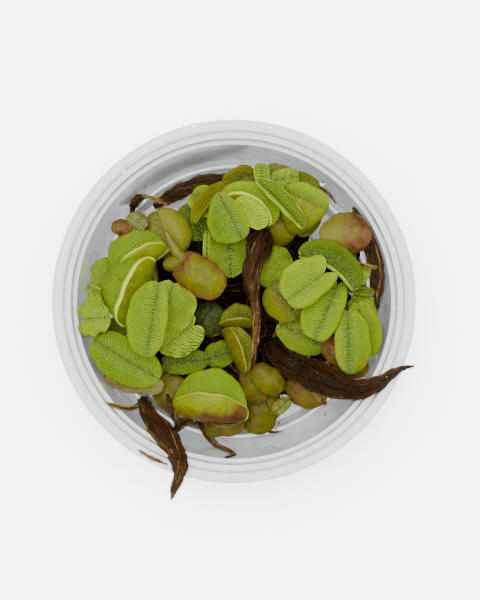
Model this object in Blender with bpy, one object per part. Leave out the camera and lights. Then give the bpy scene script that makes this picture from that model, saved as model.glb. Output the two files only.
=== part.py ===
"""Water spangles: a handful of floating ferns in a clear round cup.

The cup stands on Z = 0 with its axis on Z. Every leaf is a thin folded blade that starts at its stalk,
every root is a tapering bundle, and every stem is a round runner under the leaves. Lengths are in
millimetres in the tables and become metres in the meshes. Angles are in degrees.
"""

import itertools
import math

import bmesh
import bpy
import numpy as np
from mathutils import Euler, Vector
from mathutils.bvhtree import BVHTree

MM = 0.001

# The cup
RIM_RADIUS = 37.5
CUP_HEIGHT = 28.0
BASE_RADIUS = 30.4
BASE_THICKNESS = 0.8
WALL = 0.6
FOOT_BEVEL = 1.0
LEDGE_RADIUS = 33.45
LEDGE_HEIGHT = 20.0
STEP_RADIUS = 34.4
STEP_HEIGHT = 24.4
LEDGE_SLOPE = 0.7
DRAFT = 0.1
LIP_RADIUS = 35.7
EDGE_BEVEL = 0.6
SKIRT_DROP = 2.6
CUP_STEPS = 48
MERGE_DISTANCE = 0.00001

# The leaves
LEAF_THICKNESS = 0.75
OUTLINE_POWER = 2.3
LOBE_STEEPNESS = 1.3
LARGE_LEAF = 8.9
LARGE_GRID = (7, 6)
SMALL_GRID = (6, 4)

# The easing of the leaves off one another
CLEARANCE = 0.3
MOVE = 0.1
SIDEWAYS = 0.5
MOST_MOVES = 300
TINY = 1e-9

# The roots and stems
TUBE_ROUNDNESS = 1


def leaf(at, heading, length, width, rise=(40, 40), curl=(100, 100), arch=25, sweep=0, pitch=0,
         ends=(0.12, 0.1), spread=(0.03, 0.0), widest=0.5, kind="bright"):
    """One leaf: at is its stalk end, heading its direction seen from above, and each pair is left, right.

    Each half leaves the midrib at the angle rise and bends down by curl towards its margin (up, where curl
    is negative). arch bends the leaf down along its length, sweep bends it sideways, and pitch tips it up.
    widest is how far along it is broadest. ends and spread shape the stalk end and the tip: how blunt each
    is, and how far the two halves reach past it.
    """
    return dict(at=at, heading=heading, length=length, width=width, rise=rise, curl=curl, arch=arch,
                sweep=sweep, pitch=pitch, ends=ends, spread=spread, widest=widest, kind=kind)


LEAVES = {
    # The plant on the left
    "left_leaf_1": leaf((-24.0, 3.6, 13.8), 33, 13.2, (9.2, 6.0), rise=(20, 95), curl=(55, -85)),
    "left_leaf_2": leaf((-22.6, 5.8, 14.0), 182, 8.0, (4.6, 4.2), rise=(15, 15), curl=(35, 40),
                        ends=(0.1, 0.3)),
    "left_leaf_3": leaf((-16.5, 9.0, 19.5), 245, 15.6, (7.2, 11.4), rise=(95, 45), curl=(-85, 110),
                        sweep=-35),
    "left_leaf_4": leaf((-15.6, 3.6, 25.5), 261, 15.2, (3.4, 6.2), rise=(55, 50), curl=(110, 110)),
    "left_leaf_5": leaf((-12.6, 3.6, 18.0), 256, 11.2, (6.0, 3.2), rise=(20, 20), curl=(20, 25),
                        widest=0.35),
    "left_leaf_6": leaf((-15.8, -9.9, 17.5), 36, 8.8, (3.8, 4.6), rise=(20, 20), curl=(30, 35),
                        ends=(0.1, 0.4), spread=(0.0, 0.16), widest=0.6),
    "left_leaf_7": leaf((-26.4, -3.3, 22.0), 184, 5.4, (3.9, 4.8), rise=(15, 15), curl=(40, 40),
                        ends=(0.2, 0.5), spread=(0.0, 0.3), widest=0.6),
    "left_leaf_8": leaf((-16.2, -16.0, 19.5), 149, 15.6, (5.5, 5.2), rise=(35, 45), curl=(90, 110),
                        ends=(0.1, 0.2)),
    "left_leaf_9": leaf((-16.2, -18.8, 15.5), 166, 12.6, (3.0, 3.2), rise=(5, 5), curl=(50, 50), pitch=8,
                        kind="brown"),
    # The plant at the top left
    "back_leaf_1": leaf((-16.4, 18.9, 13.2), 293, 10.4, (6.0, 5.4), rise=(35, 30), curl=(100, 80),
                        kind="olive"),
    "back_leaf_2": leaf((-4.0, 18.6, 14.0), 138, 6.6, (3.4, 4.0), rise=(45, 45), curl=(20, 40), widest=0.6),
    "back_leaf_3": leaf((-7.0, 13.4, 11.6), 119, 8.2, (3.5, 2.9), rise=(35, 30), curl=(60, 60),
                        kind="dark"),
    "back_leaf_4": leaf((-1.0, 24.7, 16.5), 228, 11.4, (1.5, 2.2), rise=(60, 40), curl=(20, 30), sweep=45,
                        kind="olive"),
    # The plant at the top
    "top_leaf_1": leaf((-2.9, 22.5, 22.5), 297, 10.6, (3.0, 5.8), rise=(25, 25), curl=(75, 75),
                       ends=(0.02, 0.15), widest=0.62),
    "top_leaf_2": leaf((-1.6, 20.6, 18.5), 330, 11.4, (5.2, 3.2), rise=(30, 95), curl=(60, -80), sweep=-80),
    "top_leaf_3": leaf((0.2, 20.9, 21.0), 316, 7.8, (3.0, 2.4), rise=(15, 20), curl=(30, 30), sweep=-45,
                       ends=(0.1, 0.1)),
    "top_leaf_4": leaf((5.0, 25.0, 21.5), 314, 13.6, (2.6, 1.8), rise=(25, 55), curl=(45, -10), sweep=-10,
                       kind="dark"),
    "top_leaf_5": leaf((10.0, 22.8, 19.5), 334, 9.4, (3.6, 9.0), rise=(30, 10), curl=(30, 80)),
    "top_leaf_6": leaf((5.6, 18.2, 16.0), 345, 8.8, (3.0, 6.4), rise=(5, 10), curl=(20, 80), kind="olive"),
    "top_leaf_7": leaf((4.2, 27.0, 14.5), 206, 6.8, (3.0, 3.0), rise=(20, 40), curl=(40, 20), sweep=30,
                       kind="olive"),
    "top_leaf_8": leaf((9.6, 24.3, 16.5), 351, 8.6, (3.4, 3.0), rise=(-5, 40), curl=(50, 20), sweep=-45,
                       kind="olive"),
    # The plant in the middle
    "middle_leaf_1": leaf((-0.6, 5.4, 15.5), 95, 9.0, (5.0, 4.8), rise=(30, 30), curl=(35, 35),
                          ends=(0.05, 0.25), widest=0.6),
    "middle_leaf_2": leaf((-10.6, 7.3, 20.0), 327, 9.6, (4.1, 4.3), rise=(10, 10), curl=(45, 50),
                          ends=(0.7, 0.12), spread=(0.16, 0.0), kind="olive"),
    "middle_leaf_3": leaf((-4.0, -7.1, 10.5), 107, 7.0, (3.4, 3.2), rise=(10, 10), curl=(30, 30),
                          kind="dark"),
    "middle_leaf_4": leaf((-2.9, -5.2, 13.0), 358, 6.8, (5.4, 3.8), rise=(35, 85), curl=(35, -85),
                          widest=0.6, kind="olive"),
    "middle_leaf_5": leaf((-2.3, -6.5, 14.5), 293, 9.8, (5.2, 4.6), rise=(25, 85), curl=(20, -85),
                          widest=0.4, kind="olive"),
    "middle_leaf_6": leaf((-6.1, -12.6, 12.5), 20, 6.4, (3.2, 2.8), rise=(30, 30), curl=(60, 60),
                          kind="dark"),
    "middle_leaf_7": leaf((-6.1, -12.6, 12.5), 185, 9.4, (2.8, 2.8), rise=(30, 30), curl=(60, 60),
                          kind="dark"),
    # The plant at the bottom
    "front_leaf_1": leaf((-12.6, -22.9, 13.8), 354, 14.2, (11.2, 11.0), rise=(20, 60), curl=(55, -140),
                         arch=20, sweep=8, ends=(0.14, 0.25), spread=(0.03, 0.1)),
    "front_leaf_2": leaf((-1.0, -20.5, 11.6), 352, 5.0, (3.8, 3.8), rise=(20, 20), curl=(50, 50)),
    "front_leaf_3": leaf((-6.3, -27.0, 12.5), 6, 8.4, (2.6, 2.4), rise=(5, 5), curl=(20, 25), kind="olive"),
    "front_leaf_4": leaf((5.0, -13.2, 14.5), 317, 7.8, (3.1, 3.1), rise=(0, 0), curl=(45, 40),
                         kind="olive"),
    "front_leaf_5": leaf((2.3, -14.2, 13.0), 288, 8.4, (3.2, 3.2), rise=(0, 0), curl=(40, 40),
                         kind="olive"),
    "front_leaf_6": leaf((7.3, -18.8, 11.5), 246, 10.0, (4.6, 4.8), rise=(0, 0), curl=(45, 45),
                         kind="olive"),
    "front_leaf_7": leaf((11.3, -17.2, 10.5), 335, 9.2, (3.8, 4.0), rise=(5, 5), curl=(60, 60),
                         kind="brown"),
    "front_leaf_8": leaf((-16.7, -16.1, 11.5), 312, 11.0, (4.2, 3.8), rise=(10, 10), curl=(30, 30),
                         kind="dark"),
    # The plant on the right
    "right_leaf_1": leaf((19.2, 6.2, 26.2), 216, 9.4, (4.1, 6.0), rise=(50, 35), curl=(110, 80),
                         ends=(0.55, 0.25), spread=(0.22, 0.0)),
    "right_leaf_2": leaf((21.6, 3.2, 22.5), 247, 12.2, (3.8, 5.4), rise=(45, 40), curl=(110, 95),
                         ends=(0.3, 0.25), spread=(0.1, 0.0)),
    "right_leaf_3": leaf((23.4, -2.0, 22.0), 272, 12.9, (5.3, 3.1), rise=(40, 50), curl=(90, 100),
                         ends=(0.1, 0.05)),
    "right_leaf_4": leaf((27.2, -0.8, 19.0), 280, 11.4, (4.2, 3.2), rise=(25, 35), curl=(60, 70)),
    "right_leaf_5": leaf((7.8, 3.4, 19.0), 312, 8.8, (2.8, 5.0), rise=(15, 25), curl=(50, 80),
                         kind="olive"),
    "right_leaf_6": leaf((12.4, 6.3, 17.5), 172, 6.8, (4.4, 4.9), rise=(12, 12), curl=(30, 30),
                         ends=(0.1, 0.45), spread=(0.0, 0.1), widest=0.55),
    "right_leaf_7": leaf((14.0, 10.2, 22.3), 327, 14.0, (4.8, 3.0), rise=(30, 75), curl=(80, 10), sweep=-70,
                         kind="dark"),
    "right_leaf_8": leaf((19.8, 13.8, 23.0), 4, 10.6, (6.2, 5.6), rise=(5, 5), curl=(85, 85), pitch=4,
                         kind="brown"),
    "right_leaf_9": leaf((9.6, -5.0, 15.0), 335, 11.0, (4.0, 4.2), rise=(30, 30), curl=(60, 60)),
    "right_leaf_10": leaf((20.2, -9.2, 17.0), 322, 11.0, (3.8, 3.6), rise=(0, 0), curl=(45, 45),
                          kind="brown"),
}

# The roots: points (x, y, z) down each bundle, then its radius at each point
ROOTS = {
    "middle_root": (
        [(5.8, 15.0, 17.0), (5.2, 11.2, 20.0), (3.7, 6.5, 21.5), (4.2, 1.5, 21.5), (4.7, -4.0, 20.5),
         (4.3, -9.0, 19.0), (3.7, -14.2, 17.5)],
        [2.0, 2.4, 2.3, 1.35, 0.95, 0.8, 0.3]),
    "right_root": (
        [(7.5, -9.0, 11.5), (11.0, -12.5, 14.0), (15.5, -14.8, 17.0), (20.5, -16.9, 20.5),
         (25.0, -18.4, 24.2), (28.9, -17.2, 27.9), (32.0, -15.0, 29.9), (34.6, -13.6, 29.9),
         (37.0, -13.2, 29.4)],
        [1.6, 2.6, 2.9, 2.6, 1.9, 1.3, 0.9, 0.4, 0.15]),
    "front_root": (
        [(-19.2, -20.5, 17.5), (-17.6, -23.8, 20.5), (-14.8, -27.0, 24.0), (-12.3, -30.2, 28.0),
         (-11.0, -33.4, 30.1), (-11.4, -36.2, 30.0), (-12.4, -38.6, 28.6), (-12.9, -41.0, 26.4)],
        [1.0, 1.9, 2.3, 2.0, 1.6, 1.1, 0.7, 0.15]),
    "back_root": (
        [(-17.5, 20.6, 4.5), (-14.4, 22.6, 4.0), (-9.6, 25.0, 3.6), (-4.2, 26.2, 4.2), (0.6, 26.0, 6.0),
         (3.0, 24.0, 9.0)],
        [0.8, 1.3, 1.5, 1.4, 1.2, 0.6]),
    "side_root": (
        [(25.0, 19.6, 20.5), (26.6, 16.4, 18.6), (28.6, 11.8, 17.6), (30.0, 6.5, 17.2), (30.1, 2.4, 17.4),
         (30.2, -1.6, 18.0)],
        [0.35, 0.8, 1.3, 1.5, 1.2, 0.3]),
    "left_hanging_root": (
        [(-16.0, 0.0, 13.0), (-19.5, -1.0, 7.0), (-21.0, -6.0, 3.6), (-19.0, -13.0, 2.8),
         (-13.5, -18.5, 2.6)],
        [1.4, 2.2, 2.1, 1.7, 0.4]),
    "right_hanging_root": (
        [(19.0, 3.0, 12.5), (21.5, 1.0, 7.0), (22.0, -5.0, 3.6), (18.0, -12.5, 2.8), (10.0, -17.0, 2.6)],
        [1.4, 2.2, 2.1, 1.7, 0.4]),
    "middle_hanging_root": (
        [(0.0, 9.0, 11.0), (-1.0, 6.0, 6.0), (1.0, 0.0, 3.6), (4.0, -7.0, 2.8), (1.5, -14.0, 2.6)],
        [1.5, 2.4, 2.3, 1.8, 0.4]),
}

# The stems: points (x, y, z) along each runner, then its radius at each end
STEMS = {
    "left_stem": ([(-17.4, 8.6, 13.0), (-16.8, 3.6, 14.6), (-17.0, -3.0, 14.0), (-14.5, -9.5, 13.5),
                   (-13.0, -13.0, 12.0)], (0.8, 0.7)),
    "back_stem": ([(-14.4, 14.6, 17.5), (-12.8, 11.6, 16.8), (-11.0, 8.8, 15.8)], (0.5, 1.6)),
    "middle_stem": ([(-9.5, -6.5, 8.8), (-6.0, -6.4, 8.4), (-2.0, -8.0, 8.2), (4.0, -9.0, 9.0),
                     (9.0, -9.0, 8.0)], (0.6, 0.7)),
    "front_stem": ([(-13.0, -22.5, 10.0), (-11.0, -26.0, 9.5), (-8.2, -24.2, 8.0), (-2.0, -20.0, 8.0),
                    (8.0, -20.0, 7.0)], (0.6, 0.6)),
    "right_stem": ([(15.0, 7.0, 14.5), (20.0, 4.5, 15.5), (23.5, -2.0, 14.0), (22.0, -8.0, 12.0)],
                   (0.8, 0.7)),
}

# Each finish: its colour, roughness and how clear it is
FINISHES = {
    "bright": ((0.30, 0.47, 0.05), 0.55, 0.0),
    "dark": ((0.10, 0.22, 0.03), 0.5, 0.0),
    "olive": ((0.27, 0.30, 0.05), 0.45, 0.0),
    "brown": ((0.22, 0.17, 0.07), 0.4, 0.0),
    "root": ((0.055, 0.028, 0.014), 0.35, 0.0),
    "stem": ((0.24, 0.20, 0.06), 0.5, 0.0),
    "clear": ((0.95, 0.97, 0.97), 0.08, 1.0),
}


def clear_scene():
    for obj in list(bpy.data.objects):
        bpy.data.objects.remove(obj)


def finish(kind):
    """The material of a kind of piece, made once."""
    if kind in bpy.data.materials:
        return bpy.data.materials[kind]
    colour, roughness, transmission = FINISHES[kind]
    made = bpy.data.materials.new(kind)
    made.use_nodes = True
    shader = made.node_tree.nodes["Principled BSDF"]
    shader.inputs["Base Color"].default_value = (*colour, 1.0)
    shader.inputs["Roughness"].default_value = roughness
    shader.inputs["Metallic"].default_value = 0.0
    shader.inputs["Transmission Weight"].default_value = transmission
    return made


def add_object(name, data, look):
    """Puts a mesh or a curve into the scene as a named object with its material."""
    obj = bpy.data.objects.new(name, data)
    bpy.context.scene.collection.objects.link(obj)
    data.materials.append(look)
    return obj


def inner_profile():
    """The cup's wall from the inside of its base over the rim, as (radius, height)."""
    foot = BASE_RADIUS - WALL
    return [
        (foot - FOOT_BEVEL, BASE_THICKNESS),
        (foot, BASE_THICKNESS + FOOT_BEVEL),
        (LEDGE_RADIUS - WALL, LEDGE_HEIGHT),
        (STEP_RADIUS - WALL - DRAFT, LEDGE_HEIGHT + LEDGE_SLOPE),
        (STEP_RADIUS - WALL, STEP_HEIGHT),
        (LIP_RADIUS - WALL - DRAFT, STEP_HEIGHT + LEDGE_SLOPE),
        (LIP_RADIUS - WALL, CUP_HEIGHT - EDGE_BEVEL),
        (LIP_RADIUS - WALL + EDGE_BEVEL, CUP_HEIGHT),
    ]


def outer_profile():
    """The cup's outside from the top of its rim, under the skirt and down to the foot."""
    return [
        (RIM_RADIUS - EDGE_BEVEL, CUP_HEIGHT),
        (RIM_RADIUS, CUP_HEIGHT - EDGE_BEVEL),
        (RIM_RADIUS, CUP_HEIGHT - SKIRT_DROP),
        (RIM_RADIUS - WALL, CUP_HEIGHT - SKIRT_DROP),
        (RIM_RADIUS - WALL, CUP_HEIGHT - WALL),
        (LIP_RADIUS, CUP_HEIGHT - WALL),
        (LIP_RADIUS - DRAFT, STEP_HEIGHT + LEDGE_SLOPE - WALL),
        (STEP_RADIUS, STEP_HEIGHT - WALL),
        (STEP_RADIUS - DRAFT, LEDGE_HEIGHT + LEDGE_SLOPE - WALL),
        (LEDGE_RADIUS, LEDGE_HEIGHT - WALL),
        (BASE_RADIUS, FOOT_BEVEL),
        (BASE_RADIUS - FOOT_BEVEL, 0.0),
    ]


def build_cup():
    mesh = bpy.data.meshes.new("cup")
    shape = bmesh.new()
    profile = [(0.0, BASE_THICKNESS), *inner_profile(), *outer_profile(), (0.0, 0.0)]
    corners = [shape.verts.new((radius * MM, 0.0, height * MM)) for radius, height in profile]
    for first, second in zip(corners, corners[1:]):
        shape.edges.new((first, second))
    shape.to_mesh(mesh)
    shape.free()
    cup = add_object("cup", mesh, finish("clear"))
    turn = cup.modifiers.new("turn", "SCREW")
    turn.steps = turn.render_steps = CUP_STEPS
    turn.use_merge_vertices = True
    turn.merge_threshold = MERGE_DISTANCE
    turn.use_smooth_shade = True
    return cup


def side_curve(arc, rise, curl, full):
    """Offset and height of a half leaf's cross-section, an arc's length from the midrib."""
    start = math.radians(rise)
    bend = math.radians(curl) / full
    angle = start - bend * arc
    return (math.sin(start) - np.sin(angle)) / bend, (np.cos(angle) - math.cos(start)) / bend


def leaf_surface(one, rows, columns):
    """The middle surface of a leaf, in millimetres: rows run along the midrib, columns across it."""
    along = (1.0 - np.cos(np.linspace(0.0, math.pi, rows + 1)[:, None])) / 2
    across = np.linspace(-1.0, 1.0, columns + 1)[None, :]
    centred = 2.0 * along ** (math.log(0.5) / math.log(one["widest"])) - 1.0
    rounded = np.sqrt(1.0 - np.abs(centred) ** OUTLINE_POWER)
    blunt = np.where(centred < 0, one["ends"][0], one["ends"][1])
    half = blunt + (1.0 - blunt) * rounded
    spread = np.where(centred < 0, one["spread"][0], one["spread"][1])
    past_midrib = np.sin(np.minimum(np.abs(across) * LOBE_STEEPNESS, 1.0) * math.pi / 2)
    run = one["length"] * (along + spread * centred * np.abs(centred) ** 2 * past_midrib)
    offset = np.zeros((rows + 1, columns + 1))
    height = np.zeros((rows + 1, columns + 1))
    for side, sign in ((0, 1.0), (1, -1.0)):
        here = (across * sign >= 0)[0]
        full = one["width"][side] * half
        out, up = side_curve(np.abs(across[:, here]) * full, one["rise"][side], one["curl"][side], full)
        offset[:, here] = sign * out
        height[:, here] = up
    return bent(one, run, offset, height), rounded


def bent(one, run, offset, height):
    """Bends a leaf down along its length by arch and sideways by sweep."""
    bend = math.radians(one["arch"]) / one["length"]
    start = math.radians(one["arch"]) / 2
    angle = start - bend * run
    level = (math.sin(start) - np.sin(angle)) / bend - height * np.sin(angle)
    lift = (np.cos(angle) - math.cos(start)) / bend + height * np.cos(angle)
    if one["sweep"]:
        bend = math.radians(one["sweep"]) / one["length"]
        start = -math.radians(one["sweep"]) / 2
        angle = start + bend * level
        level = (np.sin(angle) - math.sin(start)) / bend - offset * np.sin(angle)
        offset = (math.cos(start) - np.cos(angle)) / bend + offset * np.cos(angle)
    return np.stack([level, offset, lift], axis=-1)


def placed(one, points):
    """Turns and moves a leaf's own points to where it lies in the cup, in metres."""
    turn = Euler((0.0, math.radians(-one["pitch"]), math.radians(one["heading"])))
    return (points @ np.array(turn.to_matrix()).T + np.array(one["at"])) * MM


def leaf_blade(one, thickness=LEAF_THICKNESS):
    """A closed blade whose two faces meet along the margin: its points in metres and its triangles."""
    rows, columns = LARGE_GRID if one["length"] > LARGE_LEAF else SMALL_GRID
    surface, rounded = leaf_surface(one, rows, columns)
    normal = np.cross(np.gradient(surface, axis=0), np.gradient(surface, axis=1))
    normal /= np.linalg.norm(normal, axis=-1, keepdims=True)
    normal *= thickness / 2 * np.sqrt(rounded)[:, :, None]
    faces = {"top": placed(one, surface + normal), "under": placed(one, surface - normal)}
    rim = placed(one, surface)
    points, index = [], {}
    for face, row, column in np.ndindex(2, rows + 1, columns + 1):
        side = ("top", "under")[face]
        on_rim = row in (0, rows) or column in (0, columns)
        key = ("rim" if on_rim else side, row, column)
        if key not in index:
            index[key] = len(points)
            points.append(rim[row, column] if on_rim else faces[side][row, column])
        index[(side, row, column)] = index[key]
    triangles = []
    for row, column in np.ndindex(rows, columns):
        corners = [(row, column), (row + 1, column), (row + 1, column + 1), (row, column + 1)]
        if (row < rows / 2) == (column < columns / 2):
            corners = corners[1:] + corners[:1]
        a, b, c, d = (index[("top", *corner)] for corner in corners)
        triangles += [(a, b, c), (a, c, d)]
        a, b, c, d = (index[("under", *corner)] for corner in corners)
        triangles += [(a, c, b), (a, d, c)]
    return np.array(points), triangles


def build_leaf(name, one, shift):
    points, triangles = leaf_blade(one)
    mesh = bpy.data.meshes.new(name)
    mesh.from_pydata([tuple(point) for point in points + shift], [], triangles)
    mesh.shade_smooth()
    return add_object(name, mesh, finish(one["kind"]))


def smooth_run(points, radii):
    """A Catmull-Rom curve through the given points, with its middle between each two of them."""
    knots = [Vector(point) for point in points]
    knots = [2 * knots[0] - knots[1], *knots, 2 * knots[-1] - knots[-2]]
    run = []
    for number in range(1, len(knots) - 2):
        before, here, after, beyond = knots[number - 1:number + 3]
        middle = (9 * (here + after) - before - beyond) / 16
        run += [(here, radii[number - 1]), (middle, (radii[number - 1] + radii[number]) / 2)]
    return run + [(knots[-2], radii[-1])]


def build_tube(name, points, radii, kind):
    curve = bpy.data.curves.new(name, "CURVE")
    curve.dimensions = "3D"
    curve.bevel_depth = MM
    curve.bevel_resolution = TUBE_ROUNDNESS
    curve.use_fill_caps = True
    run = smooth_run(points, radii)
    spline = curve.splines.new("POLY")
    spline.points.add(len(run) - 1)
    for point, (place, radius) in zip(spline.points, run):
        point.co = (*(place * MM), 1.0)
        point.radius = radius
    return add_object(name, curve, finish(kind))


def wall_excess(points):
    """How far the points reach past the cup's inner wall, less the clearance. Over the rim they are free."""
    radii, heights = np.array(inner_profile()).T * MM
    room = np.interp(points[:, 2], heights, radii) - CLEARANCE * MM
    inside = points[:, 2] < CUP_HEIGHT * MM
    return (np.hypot(points[:, 0], points[:, 1]) - room)[inside].max(initial=-1.0)


def meet(first, second):
    """Whether two pieces cross."""
    low = np.maximum(first["box"][0], second["box"][0])
    high = np.minimum(first["box"][1], second["box"][1])
    return bool(np.all(low < high)) and bool(first["tree"].overlap(second["tree"]))


def apart(first, second):
    """The way to push a leaf off another: up if it is the upper one where they cross, and a bit aside."""
    low = np.maximum(first["box"][0], second["box"][0])[:2]
    high = np.minimum(first["box"][1], second["box"][1])[:2]
    heights = []
    for leaf_here in (first, second):
        points = leaf_here["points"]
        crossing = np.all((points[:, :2] >= low) & (points[:, :2] <= high), axis=1)
        heights.append(points[crossing, 2].mean() if crossing.any() else points[:, 2].mean())
    aside = first["points"].mean(axis=0) - second["points"].mean(axis=0)
    aside[2] = 0.0
    aside *= SIDEWAYS / (np.linalg.norm(aside) + TINY)
    aside[2] = 1.0 if heights[0] > heights[1] else -1.0
    return aside


def swollen(one):
    """The leaf's points and triangles when it is longer, wider and thicker by the clearance."""
    width = tuple(half + CLEARANCE for half in one["width"])
    return leaf_blade(dict(one, width=width, length=one["length"] + CLEARANCE), LEAF_THICKNESS + CLEARANCE)


def ease_apart(leaves, fixed):
    """How far each leaf moves so that no two meet and none cuts a root, a stem or the cup."""
    forms = {name: swollen(one) for name, one in leaves.items()}
    shift = {name: np.zeros(3) for name in leaves}
    for _ in range(MOST_MOVES):
        now = {}
        for name, (points, triangles) in forms.items():
            points = points + shift[name]
            now[name] = dict(points=points, box=(points.min(axis=0), points.max(axis=0)),
                             tree=BVHTree.FromPolygons(points.tolist(), triangles))
        push = {}
        for first, second in itertools.combinations(now, 2):
            if meet(now[first], now[second]):
                away = apart(now[first], now[second]) * MOVE * MM
                push[first] = push.get(first, 0) + away
                push[second] = push.get(second, 0) - away
        for name, here in now.items():
            for obstacle in fixed:
                if meet(here, obstacle):
                    middle = here["points"].mean(axis=0)
                    away = middle - np.array(obstacle["tree"].find_nearest(middle)[0])
                    push[name] = push.get(name, 0) + away * MOVE * MM / np.linalg.norm(away)
            excess = wall_excess(here["points"])
            if excess > 0:
                inward = -here["points"].mean(axis=0) * (1.0, 1.0, 0.0)
                push[name] = push.get(name, 0) + inward / np.linalg.norm(inward) * min(excess, MOVE * MM)
        if not push:
            break
        for name, away in push.items():
            shift[name] += away
    return shift


def obstacle_from(obj):
    """The box and surface of a piece that stays where it is."""
    graph = bpy.context.evaluated_depsgraph_get()
    points = np.array([tuple(corner) for corner in obj.evaluated_get(graph).bound_box])
    return dict(box=(points.min(axis=0), points.max(axis=0)), tree=BVHTree.FromObject(obj, graph))


def main():
    clear_scene()
    build_cup()
    tubes = [build_tube(name, points, radii, "root") for name, (points, radii) in ROOTS.items()]
    for name, (points, ends) in STEMS.items():
        radii = np.linspace(ends[0], ends[1], len(points)).tolist()
        tubes.append(build_tube(name, points, radii, "stem"))
    shift = ease_apart(LEAVES, [obstacle_from(tube) for tube in tubes])
    for name, one in LEAVES.items():
        build_leaf(name, one, shift[name])


main()
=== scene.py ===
# Water spangles: a handful of floating ferns in a clear round cup, seen from above.
# Shapes are worked out in millimetres and angles in degrees. Meshes are made in metres.

import math

import bpy
import numpy as np
from mathutils import Euler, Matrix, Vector


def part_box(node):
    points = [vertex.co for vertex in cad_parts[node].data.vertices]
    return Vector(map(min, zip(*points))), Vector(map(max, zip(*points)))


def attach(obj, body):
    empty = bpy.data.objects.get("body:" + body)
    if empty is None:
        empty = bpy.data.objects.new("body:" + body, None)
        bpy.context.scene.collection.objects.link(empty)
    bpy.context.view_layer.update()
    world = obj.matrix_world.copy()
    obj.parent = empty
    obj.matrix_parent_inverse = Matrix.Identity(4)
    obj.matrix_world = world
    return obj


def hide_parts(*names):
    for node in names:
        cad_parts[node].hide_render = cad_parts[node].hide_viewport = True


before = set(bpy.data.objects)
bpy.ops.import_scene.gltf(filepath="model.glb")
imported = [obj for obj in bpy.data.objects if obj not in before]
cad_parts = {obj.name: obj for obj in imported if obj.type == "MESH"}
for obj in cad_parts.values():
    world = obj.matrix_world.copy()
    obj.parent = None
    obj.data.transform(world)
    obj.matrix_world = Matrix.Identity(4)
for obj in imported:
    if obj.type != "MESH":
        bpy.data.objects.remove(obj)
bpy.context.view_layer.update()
mm = 0.001
turn = 2 * math.pi


# Shader helpers. Each makes one node and returns the socket that the next one reads.

def shaderNode(tree, kind, inputs, output=0, **settings):
    made = tree.nodes.new("ShaderNode" + kind)
    for name, value in settings.items():
        setattr(made, name, value)
    for socket, value in inputs.items():
        if isinstance(value, bpy.types.NodeSocket):
            tree.links.new(value, made.inputs[socket])
        else:
            made.inputs[socket].default_value = value
    return made.outputs[output]


def calculate(tree, operation, first, second=0.0, third=0.0):
    return shaderNode(tree, "Math", {0: first, 1: second, 2: third}, operation=operation)


def multiply(tree, first, second):
    return calculate(tree, "MULTIPLY", first, second)


def add(tree, first, second):
    return calculate(tree, "ADD", first, second)


def stretch(tree, value, factor, start):
    return calculate(tree, "MULTIPLY_ADD", value, factor, start)


def opposite(tree, value):
    return calculate(tree, "SUBTRACT", 1.0, value)


def fade(tree, value, start, end):
    # 0 at start and 1 at end, with soft ends
    return shaderNode(tree, "MapRange", {"Value": value, "From Min": start, "From Max": end},
                      interpolation_type="SMOOTHSTEP")


def blendColour(tree, amount, first, second):
    # sockets 6 and 7 are the two colours of a colour Mix node, and output 2 is its result
    return shaderNode(tree, "Mix", {0: amount, 6: first, 7: second}, output=2, data_type="RGBA",
                      blend_type="MIX", clamp_factor=True)


def stored(tree, name, output="Fac"):
    return shaderNode(tree, "Attribute", {}, output=output, attribute_name=name)


def parts(tree, vector):
    made = tree.nodes.new("ShaderNodeSeparateXYZ")
    tree.links.new(vector, made.inputs[0])
    return made.outputs


def cloud(tree, scale, detail=2.0, roughness=0.5):
    # noise through the object's own space, its scale in features to the millimetre
    place = shaderNode(tree, "TexCoord", {}, output="Object")
    return shaderNode(tree, "TexNoise", {"Vector": place, "Scale": scale / mm, "Detail": detail,
                                         "Roughness": roughness})


def startMaterial(name, **sockets):
    made = bpy.data.materials.new(name)
    made.use_nodes = True
    shader = made.node_tree.nodes["Principled BSDF"]
    for socket, value in sockets.items():
        shader.inputs[socket.replace("_", " ")].default_value = value
    return made, made.node_tree, shader


def colour(red, green, blue):
    # an ordinary screen colour, 0 to 255, as the shader wants it
    def linear(value):
        value /= 255
        return value / 12.92 if value <= 0.04045 else ((value + 0.055) / 1.055) ** 2.4
    return (linear(red), linear(green), linear(blue), 1.0)


def addBump(tree, shader, height, depth):
    # depth is in millimetres
    bump = shaderNode(tree, "Bump", {"Height": height, "Distance": depth * mm, "Strength": 1.0})
    tree.links.new(bump, shader.inputs["Normal"])


# Leaf finishes. Each mesh stores what they read:
#   place = millimetres along the midrib, out from it, and in from the margin
#   ribRow = which raised rib a point is on, counted along the leaf
#   toneA = how ribbed, how hairy, lighter or darker, how pale
#   toneB = pale margin, width of the turned-up band, how brown, how beaded

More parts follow.
